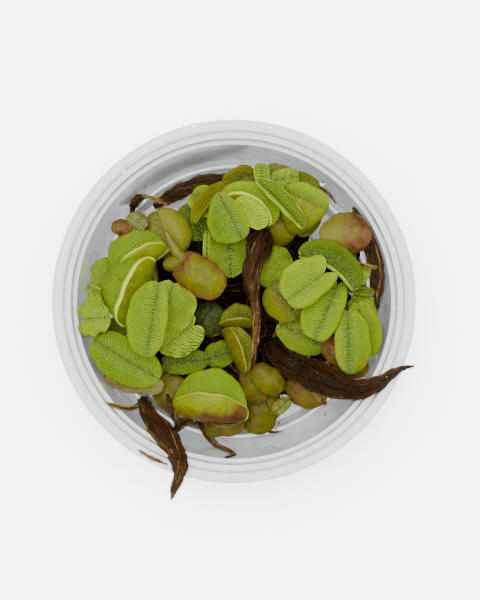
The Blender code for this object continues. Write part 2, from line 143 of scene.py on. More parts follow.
leafColours = {
    "bright": dict(inner=colour(52, 76, 2), outer=colour(80, 94, 2), deepToneAndShade=colour(26, 42, 0),
                   veinAndShade=colour(54, 70, 22), tick=colour(12, 20, 2), rib=colour(104, 120, 26),
                   margin=colour(108, 120, 34), under=colour(66, 70, 0), underDeep=colour(42, 46, 0),
                   roughness=0.5),
    "dark": dict(inner=colour(40, 54, 1), outer=colour(54, 68, 1), deepToneAndShade=colour(18, 26, 0),
                 veinAndShade=colour(36, 46, 16), tick=colour(7, 12, 2), rib=colour(78, 98, 28),
                 margin=colour(90, 106, 28), under=colour(42, 54, 2), underDeep=colour(20, 28, 1),
                 roughness=0.5),
    "olive": dict(inner=colour(46, 50, 0), outer=colour(64, 66, 0), deepToneAndShade=colour(25, 27, 1),
                  veinAndShade=colour(56, 54, 24), tick=colour(12, 13, 2), rib=colour(94, 96, 34),
                  margin=colour(74, 72, 14), under=colour(60, 60, 0), underDeep=colour(38, 37, 0),
                  roughness=0.46),
    "brown": dict(inner=colour(48, 40, 8), outer=colour(66, 58, 12), deepToneAndShade=colour(30, 23, 6),
                  veinAndShade=colour(46, 42, 22), tick=colour(16, 13, 6), rib=colour(88, 84, 50),
                  margin=colour(70, 62, 30), under=colour(62, 62, 4), underDeep=colour(44, 36, 6),
                  roughness=0.42),
}

leafFinish = dict(
    groove=2.1, tickStep=0.45, rowStep=0.5, beadStep=0.46, outerReach=2.4, marginWidth=0.4, ribDepth=0.2,
    pitDepth=0.3, stain=colour(44, 26, 8), blush=colour(64, 40, 16), edgeLine=colour(50, 36, 10),
    speck=colour(14, 12, 4),
)


def rowWave(tree, distance, step):
    # 0 to 1 and back once in every step
    angle = multiply(tree, distance, turn / step)
    return stretch(tree, calculate(tree, "SINE", angle), 0.5, 0.5)


def leafPattern(tree):
    # the ticks in the groove at the midrib, the beaded rows that follow the margin, and the raised ribs
    along, out, inward = parts(tree, stored(tree, "place", "Vector"))
    waver = stretch(tree, cloud(tree, 0.7, 3.0, 0.6), 1.5, -0.75)
    ticks = rowWave(tree, add(tree, along, waver), leafFinish["tickStep"])
    rows = rowWave(tree, add(tree, inward, waver), leafFinish["rowStep"])
    slanted = add(tree, stretch(tree, out, 0.4, along), waver)
    beads = multiply(tree, rows, rowWave(tree, slanted, leafFinish["beadStep"]))
    beads = multiply(tree, beads, fade(tree, cloud(tree, 0.9, 2.0), 0.3, 0.6))
    ribs = fade(tree, rowWave(tree, stored(tree, "ribRow"), 1.0), 0.25, 0.8)
    reach = stretch(tree, cloud(tree, 1.0, 3.0), 2.0, -1.0)
    groove = fade(tree, add(tree, out, reach), leafFinish["groove"], 0.3)
    return out, inward, ticks, rows, beads, ribs, groove


def tones(tree):
    first = parts(tree, stored(tree, "toneA", "Color"))
    second = parts(tree, stored(tree, "toneB", "Color"))
    return (*first, stored(tree, "toneA", "Alpha"), *second, stored(tree, "toneB", "Alpha"))


def tint(tree, skin, shade, amount, strength=1.0):
    # lays a shade over the skin by amount, at most by strength
    if strength != 1.0:
        amount = multiply(tree, amount, strength)
    return blendColour(tree, amount, skin, shade)


def ribbedFinish(kind):
    # the upper face: yellow-green with beaded rows, a grey-green ticked groove darkened with painted
    # shade, and a pale margin
    look = leafColours[kind]
    made, tree, shader = startMaterial(
        kind + "RibbedLeaf", Roughness=look["roughness"], Subsurface_Weight=0.1,
        Subsurface_Radius=(0.5, 1.0, 0.2), Subsurface_Scale=0.0006, Specular_IOR_Level=0.02)
    out, inward, ticks, rows, beads, ribs, groove = leafPattern(tree)
    ribbed, hairy, light, pale, margin, _, brown, beaded = tones(tree)
    hairy = multiply(tree, groove, hairy)
    bare = opposite(tree, hairy)

    patches = stretch(tree, cloud(tree, 0.25, 3.0), 1.6, -0.25)
    # the dark end of this blend is partly the leaf's own mottling and partly painted shade
    skin = blendColour(tree, add(tree, patches, light), look["deepToneAndShade"], look["inner"])
    outer = fade(tree, inward, leafFinish["outerReach"], 0.3)
    skin = tint(tree, skin, look["outer"], add(tree, outer, light), 0.8)
    skin = tint(tree, skin, look["rib"], pale, 0.6)
    beadedHere = multiply(tree, bare, beaded)
    # painted relief: darker between the beaded rows and between the raised ribs, paler on them; partly the
    # pale rows of hairs, partly painted shade and painted highlight of the relief
    skin = tint(tree, skin, look["deepToneAndShade"], multiply(tree, opposite(tree, rows), beadedHere), 0.45)
    skin = tint(tree, skin, look["rib"], multiply(tree, fade(tree, beads, 0.15, 0.7), beadedHere), 0.5)
    skin = tint(tree, skin, look["deepToneAndShade"], multiply(tree, opposite(tree, ribs), ribbed), 0.85)
    skin = tint(tree, skin, look["rib"], multiply(tree, ribs, ribbed), 0.5)
    # the hairy groove is grey-green, partly its own colour and partly painted shade in the valley along
    # the midrib
    skin = tint(tree, skin, look["veinAndShade"], hairy, 0.8)
    dark = multiply(tree, opposite(tree, ticks), hairy)
    dark = multiply(tree, dark, fade(tree, cloud(tree, 1.3, 2.0), 0.3, 0.6))
    skin = tint(tree, skin, look["tick"], dark, 0.6)
    skin = tint(tree, skin, look["rib"], multiply(tree, fade(tree, ticks, 0.5, 0.95), hairy), 0.3)
    # painted shade along the bottom of the midrib crease
    skin = tint(tree, skin, look["tick"], multiply(tree, fade(tree, out, 0.3, 0.08), hairy), 0.6)
    rim = fade(tree, inward, leafFinish["marginWidth"], 0.1)
    skin = tint(tree, skin, look["margin"], multiply(tree, rim, margin))
    stain = fade(tree, cloud(tree, 0.3, 4.0, 0.6), 0.4, 0.65)
    skin = tint(tree, skin, leafFinish["stain"], multiply(tree, stain, brown), 0.8)
    skin = tint(tree, skin, leafFinish["edgeLine"], fade(tree, inward, 0.13, 0.02), 0.6)
    tree.links.new(skin, shader.inputs["Base Color"])

    height = multiply(tree, ticks, hairy)
    height = add(tree, height, multiply(tree, beads, multiply(tree, bare, 0.8)))
    height = add(tree, height, multiply(tree, cloud(tree, 2.4, 2.0), 0.4))
    addBump(tree, shader, height, leafFinish["ribDepth"])
    return made


def smoothFinish(kind):
    # the lower face: smooth and wet, with a pale band where its margin turns up
    look = leafColours[kind]
    made, tree, shader = startMaterial(
        kind + "SmoothLeaf", Roughness=0.32, Subsurface_Weight=0.1, Subsurface_Radius=(0.5, 1.0, 0.2),
        Subsurface_Scale=0.0006, Specular_IOR_Level=0.03)
    _, inward, ticks, *_ = leafPattern(tree)
    _, _, light, pale, margin, band, brown, _ = tones(tree)

    patches = stretch(tree, cloud(tree, 0.26, 4.0, 0.6), 2.0, -0.5)
    skin = blendColour(tree, add(tree, patches, light), look["underDeep"], look["under"])
    cells = fade(tree, cloud(tree, 1.6, 3.0, 0.6), 0.5, 0.68)
    skin = tint(tree, skin, look["outer"], cells, 0.3)
    skin = tint(tree, skin, look["rib"], pale, 0.6)
    stain = fade(tree, stretch(tree, brown, 0.5, cloud(tree, 0.3, 4.0, 0.6)), 0.55, 0.95)
    patches = fade(tree, cloud(tree, 0.5, 3.0), 0.35, 0.65)
    shade = blendColour(tree, patches, leafFinish["stain"], leafFinish["blush"])
    skin = tint(tree, skin, shade, multiply(tree, stain, fade(tree, brown, 0.0, 0.3)))
    pastBand = calculate(tree, "SUBTRACT", inward, band)
    bandColour = blendColour(tree, multiply(tree, ticks, 0.5), look["margin"], look["rib"])
    skin = blendColour(tree, fade(tree, pastBand, 0.1, -0.1), skin, bandColour)
    edge = fade(tree, calculate(tree, "ABSOLUTE", pastBand), 0.16, 0.04)
    skin = tint(tree, skin, look["underDeep"], multiply(tree, edge, fade(tree, band, 0.1, 0.4)), 0.5)
    rim = fade(tree, inward, leafFinish["marginWidth"] * 0.7, 0.05)
    skin = tint(tree, skin, look["margin"], multiply(tree, rim, margin))
    specks = fade(tree, cloud(tree, 1.9, 1.0), 0.74, 0.78)
    skin = tint(tree, skin, leafFinish["speck"], specks, 0.6)
    tree.links.new(skin, shader.inputs["Base Color"])

    height = cloud(tree, 0.7, 3.0, 0.55)
    addBump(tree, shader, height, leafFinish["pitDepth"])
    return made


def hairFinish():
    made, tree, shader = startMaterial("leafHairs", Roughness=0.5, Specular_IOR_Level=0.1)
    amount = cloud(tree, 1.5)
    tree.links.new(blendColour(tree, amount, colour(80, 92, 30), colour(134, 144, 76)),
                   shader.inputs["Base Color"])
    return made


finishes = {}


def finish(name):
    # each finish is made when a piece first asks for it
    if name not in finishes:
        kind, _, face = name.partition(" ")
        makers = {"ribbed": lambda: ribbedFinish(kind), "smooth": lambda: smoothFinish(kind),
                  "": {"hair": hairFinish, "root": rootFinish, "stem": stemFinish, "cup": cupFinish,
                       "water": waterFinish, "debris": debrisFinish, "mat": rootMatShadeFinish,
                       "petiole": petioleFinish}.get(kind)}
        finishes[name] = makers[face]()
    return finishes[name]


def addPiece(name, points, faces, looks, stands=(), faceLooks=None, stores=None):
    # one mesh piece in millimetres, with its finishes and the values that they read
    mesh = bpy.data.meshes.new(name)
    corners = [tuple(int(corner) for corner in face) for face in faces]
    mesh.from_pydata((np.asarray(points) * mm).tolist(), [], corners)
    for look in looks:
        mesh.materials.append(finish(look))
    if faceLooks is not None:
        mesh.polygons.foreach_set("material_index", np.asarray(faceLooks, np.int32))
    for key, values in (stores or {}).items():
        values = np.asarray(values, np.float32)
        kinds = {1: ("FLOAT", "value"), 3: ("FLOAT_VECTOR", "vector"), 4: ("FLOAT_COLOR", "color")}
        kind, field = kinds[1 if values.ndim == 1 else values.shape[1]]
        mesh.attributes.new(key, kind, "POINT").data.foreach_set(field, values.ravel())
    mesh.polygons.foreach_set("use_smooth", np.full(len(mesh.polygons), True))
    mesh.update()
    piece = bpy.data.objects.new(name, mesh)
    bpy.context.scene.collection.objects.link(piece)
    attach(piece, "root")
    if stands:
        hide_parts(*stands)
    return piece


# The cup: a thin clear moulding with a stepped wall, a turned-down rim and a shallow foot

cup = dict(rimRadius=37.5, height=28.0, baseRadius=30.4, baseThickness=0.8, wall=0.6, footRound=1.0,
           ledgeRadius=33.45, ledgeHeight=20.0, stepRadius=34.4, stepHeight=24.4, ledgeSlope=0.7,
           draft=0.1,
           lipRadius=35.7, edgeRound=0.6, skirtDrop=2.6, steps=192, cornerRound=0.22, cornerSteps=4,
           footRingRadius=27.0, footRingHeight=0.25, tint=(0.5, 0.53, 0.53, 1.0), density=45.0,
           haze=0.18, baseHaze=0.4, smear=0.15, baseHazeTop=10.0, crispRim=0.8, crispFrom=16.0,
           crispFull=22.0)


def cupFinish():
    # hazy at the base, clear at the rim
    made, tree, shader = startMaterial(
        "clearPlastic", IOR=1.18, Transmission_Weight=0.86, Specular_IOR_Level=0.5)
    film = cloud(tree, 0.12, 3.0)
    tree.links.new(blendColour(tree, film, colour(240, 244, 244), colour(250, 252, 252)),
                   shader.inputs["Base Color"])
    height = parts(tree, shaderNode(tree, "TexCoord", {}, output="Object"))[2]
    smear = fade(tree, cloud(tree, 0.35, 4.0, 0.6), 0.45, 0.8)
    low = fade(tree, height, cup["baseHazeTop"] * mm, 0.0)
    haze = stretch(tree, smear, cup["smear"], stretch(tree, low, cup["baseHaze"], cup["haze"]))
    crisp = fade(tree, height, cup["crispFrom"] * mm, cup["crispFull"] * mm)
    dull = stretch(tree, crisp, -cup["crispRim"], 1.0)
    tree.links.new(multiply(tree, haze, dull), shader.inputs["Roughness"])
    output = next(node for node in tree.nodes if node.type == "OUTPUT_MATERIAL")
    grey = shaderNode(tree, "VolumeAbsorption", {"Color": cup["tint"], "Density": cup["density"]},
                      output="Volume")
    tree.links.new(grey, output.inputs["Volume"])
    return made


def cupProfile():
    # radius and height, from the middle of the inside up over the rim and back to the middle underneath
    c = cup
    top, wall = c["height"], c["wall"]
    inner = [
        (c["baseRadius"] - wall - c["footRound"], c["baseThickness"]),
        (c["baseRadius"] - wall, c["baseThickness"] + c["footRound"]),
        (c["ledgeRadius"] - wall, c["ledgeHeight"]),
        (c["stepRadius"] - wall - c["draft"], c["ledgeHeight"] + c["ledgeSlope"]),
        (c["stepRadius"] - wall, c["stepHeight"]),
        (c["lipRadius"] - wall - c["draft"], c["stepHeight"] + c["ledgeSlope"]),
        (c["lipRadius"] - wall, top - c["edgeRound"]),
        (c["lipRadius"] - wall + c["edgeRound"], top),
    ]
    outer = [
        (c["rimRadius"] - c["edgeRound"], top),
        (c["rimRadius"], top - c["edgeRound"]),
        (c["rimRadius"], top - c["skirtDrop"]),
        (c["rimRadius"] - wall, top - c["skirtDrop"]),
        (c["rimRadius"] - wall, top - wall),
        (c["lipRadius"], top - wall),
        (c["lipRadius"] - c["draft"], c["stepHeight"] + c["ledgeSlope"] - wall),
        (c["stepRadius"], c["stepHeight"] - wall),
        (c["stepRadius"] - c["draft"], c["ledgeHeight"] + c["ledgeSlope"] - wall),
        (c["ledgeRadius"], c["ledgeHeight"] - wall),
        (c["baseRadius"], c["footRound"]),
        (c["baseRadius"] - c["footRound"], 0.0),
        (c["footRingRadius"] + 0.5, 0.0),
        (c["footRingRadius"], c["footRingHeight"]),
    ]
    return [(0.0, c["baseThickness"]), *inner, *outer, (0.0, c["footRingHeight"])]


def roundCorners(profile, radius, steps):
    # swaps each corner for a short curve that starts and ends within radius of it
    points = [np.array(point) for point in profile]
    rounded = [points[0]]
    for before, corner, after in zip(points, points[1:], points[2:]):
        back, ahead = before - corner, after - corner
        start = corner + back / np.linalg.norm(back) * min(radius, np.linalg.norm(back) * 0.45)
        end = corner + ahead / np.linalg.norm(ahead) * min(radius, np.linalg.norm(ahead) * 0.45)
        for t in np.linspace(0.0, 1.0, steps):
            rounded.append((1 - t) ** 2 * start + 2 * t * (1 - t) * corner + t ** 2 * end)
    return np.array(rounded + [points[-1]])


def addCup():
    profile = roundCorners(cupProfile(), cup["cornerRound"], cup["cornerSteps"])
    angles = np.linspace(0.0, turn, cup["steps"], endpoint=False)
    ring = profile[1:-1]
    spun = np.stack([ring[:, 0] * np.cos(angles)[:, None], ring[:, 0] * np.sin(angles)[:, None],
                     np.broadcast_to(ring[:, 1], (len(angles), len(ring)))], axis=-1).reshape(-1, 3)
    count = len(ring)
    faces = []
    for step in range(cup["steps"]):
        here, beside = step * count, (step + 1) % cup["steps"] * count
        faces += [(beside + level, beside + level + 1, here + level + 1, here + level)
                  for level in range(count - 1)]
        faces.append((len(spun), beside, here))
        faces.append((len(spun) + 1, here + count - 1, beside + count - 1))
    ends = [(0.0, 0.0, profile[0][1]), (0.0, 0.0, profile[-1][1])]
    addPiece("clearCup", np.vstack([spun, ends]), faces, ["cup"], stands=["cup"])
    print("cup made:", len(faces), "faces")


# The leaves. Each starts at its stalk end, at, and runs towards heading, seen from above.
# Pairs are left, right.
# Each half leaves the midrib at the angle rise and bends down by curl (up, where curl is negative).
# arch bends the leaf down along its length, sweep bends it sideways, and pitch tips it up.

def leaf(at, heading, length, width, rise=(40, 40), curl=(100, 100), arch=25, sweep=0, pitch=0,
         ends=(0.12, 0.1), spread=(0.03, 0.0), widest=0.5, kind="bright", **looks):
    return dict(at=at, heading=heading, length=length, width=width, rise=rise, curl=curl, arch=arch,
                sweep=sweep, pitch=pitch, ends=ends, spread=spread, widest=widest, kind=kind,
                looks={**leafLooks, **looks})


# What every leaf looks like where its line doesn't say otherwise
leafLooks = dict(ribs=0.26, hair=0.7, light=0.0, pale=0.0, margin=0.35, band=0.0, brown=0.0,
                 brownAt="all",
                 beads=0.7, spacing=0.6, wave=0.0, folds=3.0, crimp=0.0, ragged=0.03, top="ribbed",
                 leftTop=None, rightTop=None, hairs=1.0)

leaves = {
    # The plant on the left
    "left_leaf_1": leaf((-24.0, 3.6, 13.8), 33, 13.2, (9.2, 6.0), rise=(20, 95), curl=(55, -85),
                        light=0.2,
                        pale=0.1, margin=0.9, band=0.5, ribs=1.0, spacing=0.6, hair=0.0, hairs=0.5,
                        beads=1.0),
    "left_leaf_2": leaf((-22.6, 5.8, 14.0), 182, 8.0, (4.6, 4.2), rise=(15, 15), curl=(35, 40),
                        ends=(0.1, 0.3), light=-0.2, pale=0.35, ribs=0.6, hair=0.2, spacing=0.75),
    "left_leaf_3": leaf((-16.5, 9.0, 19.5), 245, 15.6, (7.2, 11.4), rise=(95, 45), curl=(-85, 110),
                        sweep=-35, light=-0.1, ribs=1.0, hair=0.0, band=0.9, margin=0.2, beads=1.0,
                        spacing=0.58),
    "left_leaf_4": leaf((-15.6, 3.6, 25.5), 261, 15.2, (3.4, 6.2), rise=(55, 50), curl=(110, 110),
                        light=0.2, ribs=0.3, hair=0.9, margin=0.3, beads=1.0),
    "left_leaf_5": leaf((-12.6, 3.6, 18.0), 256, 11.2, (6.0, 3.2), rise=(20, 20), curl=(20, 25),
                        widest=0.35, light=-0.3, pale=0.35, ribs=0.5, hair=0.5, wave=0.5, folds=3,
                        spacing=0.6, margin=0.6),
    "left_leaf_6": leaf((-15.8, -9.9, 17.5), 36, 8.8, (3.8, 4.6), rise=(20, 20), curl=(30, 35),
                        ends=(0.1, 0.4), spread=(0.0, 0.16), widest=0.6, light=-0.5, pale=0.0, ribs=1.0,
                        hair=0.3, wave=0.45, folds=4, spacing=0.7, margin=0.9, beads=0.2),
    "left_leaf_7": leaf((-26.4, -3.3, 22.0), 184, 5.4, (3.9, 4.8), rise=(15, 15), curl=(40, 40),
                        ends=(0.2, 0.5), spread=(0.0, 0.3), widest=0.6, light=-0.1, pale=0.35, ribs=0.6,
                        hair=0.6, spacing=0.6, ragged=0.12, wave=0.3, brown=0.3, brownAt="margin"),
    "left_leaf_8": leaf((-16.2, -16.0, 19.5), 149, 15.6, (5.5, 5.2), rise=(35, 45), curl=(90, 110),
                        ends=(0.1, 0.2), light=0.1, ribs=0.35, hair=0.75, crimp=0.5, spacing=0.6,
                        beads=1.0),
    "left_leaf_9": leaf((-16.2, -18.8, 15.5), 166, 12.6, (3.0, 3.2), rise=(5, 5), curl=(50, 50), pitch=8,
                        kind="brown", top="smooth", brown=0.7, pale=1.0, wave=0.3, margin=0.3,
                        brownAt="tip", ragged=0.08, hairs=6.0, light=0.1),
    # The plant at the top left
    "back_leaf_1": leaf((-16.4, 18.9, 13.2), 293, 10.4, (6.0, 5.4), rise=(35, 30), curl=(100, 80),
                        kind="olive", leftTop="smooth", hair=0.9, brown=0.8, light=0.5, hairs=4.5,
                        brownAt="right", pale=0.35),
    "back_leaf_2": leaf((-4.0, 18.6, 14.0), 138, 6.6, (3.4, 4.0), rise=(45, 45), curl=(20, 40),
                        widest=0.6,
                        pale=0.25, ribs=0.2),
    "back_leaf_3": leaf((-7.0, 13.4, 11.6), 119, 8.2, (3.5, 2.9), rise=(35, 30), curl=(60, 60),
                        kind="dark",
                        hairs=1.6, light=0.2),
    "back_leaf_4": leaf((-1.0, 24.7, 16.5), 228, 11.4, (1.5, 2.2), rise=(60, 40), curl=(20, 30), sweep=45,
                        kind="olive", light=0.2, ribs=0.1, top="smooth", brown=0.2),
    # The plant at the top
    "top_leaf_1": leaf((-2.9, 22.5, 22.5), 297, 10.6, (3.0, 5.8), rise=(25, 25), curl=(75, 75),
                       ends=(0.02, 0.15), widest=0.62, light=-0.05, ribs=0.15, hair=0.95, margin=0.5,
                       hairs=1.0),
    "top_leaf_2": leaf((-1.6, 20.6, 18.5), 330, 11.4, (5.2, 3.2), rise=(30, 95), curl=(60, -80),
                       sweep=-80,
                       light=0.4, margin=0.9, ribs=0.3, hair=0.1, band=0.6, beads=0.8, hairs=0.4,
                       spacing=0.55),
    "top_leaf_3": leaf((0.2, 20.9, 21.0), 316, 7.8, (3.0, 2.4), rise=(15, 20), curl=(30, 30), sweep=-45,
                       ends=(0.1, 0.1), light=0.6, pale=0.2, margin=1.0, ribs=0.4, hair=0.0, beads=0.8,
                       hairs=0.2),
    "top_leaf_4": leaf((5.0, 25.0, 21.5), 314, 13.6, (2.6, 1.8), rise=(25, 55), curl=(45, -10), sweep=-10,
                       kind="dark", light=0.7, ribs=0.3, margin=1.0, wave=0.4, folds=3, hairs=0.2,
                       hair=0.15, beads=1.0),
    "top_leaf_5": leaf((10.0, 22.8, 19.5), 334, 9.4, (3.6, 9.0), rise=(30, 10), curl=(30, 80), light=0.4,
                       rightTop="smooth", ribs=0.3, margin=0.3, brown=0.2, brownAt="margin", beads=1.0),
    "top_leaf_6": leaf((5.6, 18.2, 16.0), 345, 8.8, (3.0, 6.4), rise=(5, 10), curl=(20, 80), kind="olive",
                       top="smooth", light=0.6),
    "top_leaf_7": leaf((4.2, 27.0, 14.5), 206, 6.8, (3.0, 3.0), rise=(20, 40), curl=(40, 20), sweep=30,
                       kind="olive", light=0.2, ribs=0.1),
    "top_leaf_8": leaf((9.6, 24.3, 16.5), 351, 8.6, (3.4, 3.0), rise=(-5, 40), curl=(50, 20), sweep=-45,
                       kind="olive", light=0.4, ribs=0.1),
    # The plant in the middle
    "middle_leaf_1": leaf((-0.6, 5.4, 15.5), 95, 9.0, (5.0, 4.8), rise=(30, 30), curl=(35, 35),
                          ends=(0.05, 0.25), widest=0.6, light=-0.45, ribs=0.6, hair=1.0, hairs=2.2,
                          spacing=0.62, wave=0.2, margin=0.6, beads=0.3),
    "middle_leaf_2": leaf((-10.6, 7.3, 20.0), 327, 9.6, (4.1, 4.3), rise=(10, 10), curl=(45, 50),
                          ends=(0.7, 0.12), spread=(0.16, 0.0), kind="olive", top="smooth", brown=1.0,
                          light=0.1, hairs=0.2, margin=0.3, brownAt="margin", ribs=0.3, wave=0.15,
                          folds=4),
    "middle_leaf_3": leaf((-4.0, -7.1, 10.5), 107, 7.0, (3.4, 3.2), rise=(10, 10), curl=(30, 30),
                          kind="dark", light=-0.5, top="smooth", hair=0.2, hairs=0.0, brown=0.0),
    "middle_leaf_4": leaf((-2.9, -5.2, 13.0), 358, 6.8, (5.4, 3.8), rise=(35, 85), curl=(35, -85),
                          widest=0.6, kind="olive", ribs=0.6, hair=1.0, light=-0.1, hairs=1.6, band=0.4),
    "middle_leaf_5": leaf((-2.3, -6.5, 14.5), 293, 9.8, (5.2, 4.6), rise=(25, 85), curl=(20, -85),
                          widest=0.4, kind="olive", ribs=0.8, hair=1.0, light=-0.1, hairs=2.0, band=0.4),
    "middle_leaf_6": leaf((-6.1, -12.6, 12.5), 20, 6.4, (3.2, 2.8), rise=(30, 30), curl=(60, 60),
                          kind="dark",
                          light=0.4, hair=0.7),
    "middle_leaf_7": leaf((-6.1, -12.6, 12.5), 185, 9.4, (2.8, 2.8), rise=(30, 30), curl=(60, 60),
                          kind="dark",
                          light=0.3, hair=0.8),
    # The plant at the bottom
    "front_leaf_1": leaf((-12.6, -22.9, 13.8), 354, 14.2, (11.2, 11.0), rise=(20, 60), curl=(55, -140),
                         arch=20, sweep=8, ends=(0.14, 0.25), spread=(0.03, 0.1), light=0.3, ribs=0.35,
                         hair=0.0, band=0.6, brown=2.0, margin=0.6, hairs=0.5, brownAt="fold",
                         spacing=0.55,
                         beads=1.0, pale=0.15),
    "front_leaf_2": leaf((-1.0, -20.5, 11.6), 352, 5.0, (3.8, 3.8), rise=(20, 20), curl=(50, 50),
                         light=0.1,
                         margin=0.8),
    "front_leaf_3": leaf((-6.3, -27.0, 12.5), 6, 8.4, (2.6, 2.4), rise=(5, 5), curl=(20, 25),
                         kind="olive",
                         top="smooth", brown=0.6, light=-0.3, brownAt="margin", wave=0.1, folds=2,
                         ragged=0.05, hairs=0.0, ribs=0.2),
    "front_leaf_4": leaf((5.0, -13.2, 14.5), 317, 7.8, (3.1, 3.1), rise=(0, 0), curl=(45, 40),
                         kind="olive",
                         top="smooth", brown=0.35, light=-0.2, wave=0.1, folds=2, ragged=0.05, hairs=0.0,
                         ribs=0.3),
    "front_leaf_5": leaf((2.3, -14.2, 13.0), 288, 8.4, (3.2, 3.2), rise=(0, 0), curl=(40, 40),
                         kind="olive",
                         top="smooth", brown=0.35, light=-0.3, wave=0.1, folds=2, ragged=0.05, hairs=0.0,
                         ribs=0.3),
    "front_leaf_6": leaf((7.3, -18.8, 11.5), 246, 10.0, (4.6, 4.8), rise=(0, 0), curl=(45, 45),
                         kind="olive", top="smooth", brown=0.25, brownAt="all", light=-0.3, wave=0.1,
                         folds=2, ragged=0.05, hairs=0.0, ribs=0.25),
    "front_leaf_7": leaf((11.3, -17.2, 10.5), 335, 9.2, (3.8, 4.0), rise=(5, 5), curl=(60, 60),
                         kind="brown", top="smooth", brown=0.5, light=0.2, brownAt="all", wave=0.15,
                         folds=2, ragged=0.06, hairs=0.1, ribs=0.2),
    "front_leaf_8": leaf((-16.7, -16.1, 11.5), 312, 11.0, (4.2, 3.8), rise=(10, 10), curl=(30, 30),
                         kind="olive", top="smooth", light=0.3, hairs=0.0, brown=0.5),
    # The plant on the right
    "right_leaf_1": leaf((19.2, 6.2, 26.2), 216, 9.4, (4.1, 6.0), rise=(50, 35), curl=(110, 80),
                         ends=(0.55, 0.25), spread=(0.22, 0.0), light=0.5, ribs=0.26, hair=0.6),
    "right_leaf_2": leaf((21.6, 3.2, 22.5), 247, 12.2, (3.8, 5.4), rise=(45, 40), curl=(110, 95),
                         ends=(0.3, 0.25), spread=(0.1, 0.0), light=0.35, ribs=0.26, hair=0.95,
                         hairs=1.1),
    "right_leaf_3": leaf((23.4, -2.0, 22.0), 272, 12.9, (5.3, 3.1), rise=(40, 50), curl=(90, 100),
                         ends=(0.1, 0.05), light=0.3, ribs=0.26, hair=1.0, hairs=1.5, brown=0.3,
                         brownAt="tip"),
    "right_leaf_4": leaf((27.2, -0.8, 19.0), 280, 11.4, (4.2, 3.2), rise=(25, 35), curl=(60, 70),
                         light=0.2,
                         ribs=0.3, hair=0.4, brown=0.1),
    "right_leaf_5": leaf((7.8, 3.4, 19.0), 312, 8.8, (2.8, 5.0), rise=(15, 25), curl=(50, 80),
                         kind="olive",
                         light=0.9, ribs=0.2, hair=0.7, brown=0.4, brownAt="left"),
    "right_leaf_6": leaf((12.4, 6.3, 17.5), 172, 6.8, (4.4, 4.9), rise=(12, 12), curl=(30, 30),
                         ends=(0.1, 0.45), spread=(0.0, 0.1), widest=0.55, light=-0.6, pale=0.0, ribs=0.6,
                         hair=0.2, wave=0.2, folds=3, spacing=0.55, hairs=0.3),
    "right_leaf_7": leaf((14.0, 10.2, 22.3), 327, 14.0, (4.8, 3.0), rise=(30, 75), curl=(80, 10),
                         sweep=-70,
                         kind="dark", light=0.1, ribs=0.12, hair=0.8, margin=1.0, hairs=1.4),
    "right_leaf_8": leaf((19.8, 13.8, 23.0), 4, 10.6, (6.2, 5.6), rise=(5, 5), curl=(85, 85), pitch=4,
                         kind="brown", top="smooth", brown=1.0, light=0.2, hairs=0.0, brownAt="tip",
                         wave=0.35, ribs=0.15, pale=0.2, folds=7),
    "right_leaf_9": leaf((9.6, -5.0, 15.0), 335, 11.0, (4.0, 4.2), rise=(30, 30), curl=(60, 60),
                         light=-0.7,
                         pale=0.2, margin=1.0, ribs=0.5, spacing=0.55),
    "right_leaf_10": leaf((20.2, -9.2, 17.0), 322, 11.0, (3.8, 3.6), rise=(0, 0), curl=(45, 45),
                          kind="brown", top="smooth", brown=0.7, pale=0.0, light=-0.1, wave=0.3,
                          ragged=0.06, hairs=0.2),
}

# Small leaves that lie among the large ones
smallLeaves = {
    "smallLeaf1": leaf((-26.6, 1.0, 19.0), 155, 4.9, (1.8, 1.6), rise=(60, 50), curl=(20, 20), pale=0.5),
    "smallLeaf2": leaf((-22.8, -5.9, 15.5), 180, 5.4, (2.6, 2.6), rise=(15, 15), curl=(40, 40),
                       kind="dark",
                       light=0.4),
    "smallLeaf3": leaf((-21.6, 15.4, 15.5), 172, 4.4, (2.3, 2.3), rise=(10, 10), curl=(110, 110),
                       kind="brown", top="smooth", brown=0.9, ribs=0.1, hairs=0.2, light=0.4),
    "smallLeaf4": leaf((-10.7, 8.4, 17.0), 191, 4.3, (1.8, 1.8), rise=(10, 10), curl=(90, 90),
                       kind="brown",
                       top="smooth", light=0.2, ribs=0.0, hairs=0.2),
    "smallLeaf5": leaf((5.9, 25.1, 19.5), 96, 3.8, (1.8, 1.8), rise=(40, 30), curl=(60, 60), light=0.1),
    "smallLeaf6": leaf((12.1, 27.0, 15.5), 169, 5.5, (1.6, 1.6), rise=(30, 30), curl=(60, 60),
                       kind="olive",
                       light=0.2, ribs=0.7),
    "smallLeaf7": leaf((7.9, 25.5, 18.0), 8, 5.9, (2.2, 2.0), rise=(20, 20), curl=(50, 50), pale=0.2,
                       ribs=0.7),
    "smallLeaf8": leaf((17.6, 20.3, 15.5), 236, 7.5, (2.8, 2.8), rise=(20, 20), curl=(70, 70),
                       kind="olive",
                       light=0.5, top="smooth", brown=0.2),
    "smallLeaf9": leaf((-5.9, 8.4, 16.0), 88, 6.7, (1.4, 1.4), rise=(70, 60), curl=(10, 10), pale=0.4,
                       hair=0.9),
    "smallLeaf10": leaf((11.7, -20.9, 11.0), 221, 4.4, (1.5, 1.5), rise=(10, 10), curl=(50, 50),
                        kind="olive", top="ribbed", ribs=1.0, light=0.3),
    "smallLeaf11": leaf((24.7, 0.4, 16.5), 327, 6.2, (2.8, 2.8), rise=(20, 20), curl=(60, 60), light=0.1,
                        pale=0.2, ribs=0.7),
    "smallLeaf12": leaf((24.3, 2.5, 18.5), 353, 5.3, (1.3, 1.3), rise=(50, 50), curl=(20, 20),
                        kind="dark",
                        light=0.3, brown=0.4),
    "smallLeaf14": leaf((-18.6, 15.6, 15.2), 146, 4.6, (2.4, 2.4), rise=(10, 10), curl=(80, 80),
                        kind="brown",
                        light=0.6, pale=0.3, hairs=5.0, brown=0.3, ragged=0.08),
    "smallLeaf13": leaf((25.5, 3.6, 18.5), 63, 4.7, (1.9, 1.9), rise=(30, 30), curl=(50, 50), pale=0.35,
                        ribs=0.7),
}

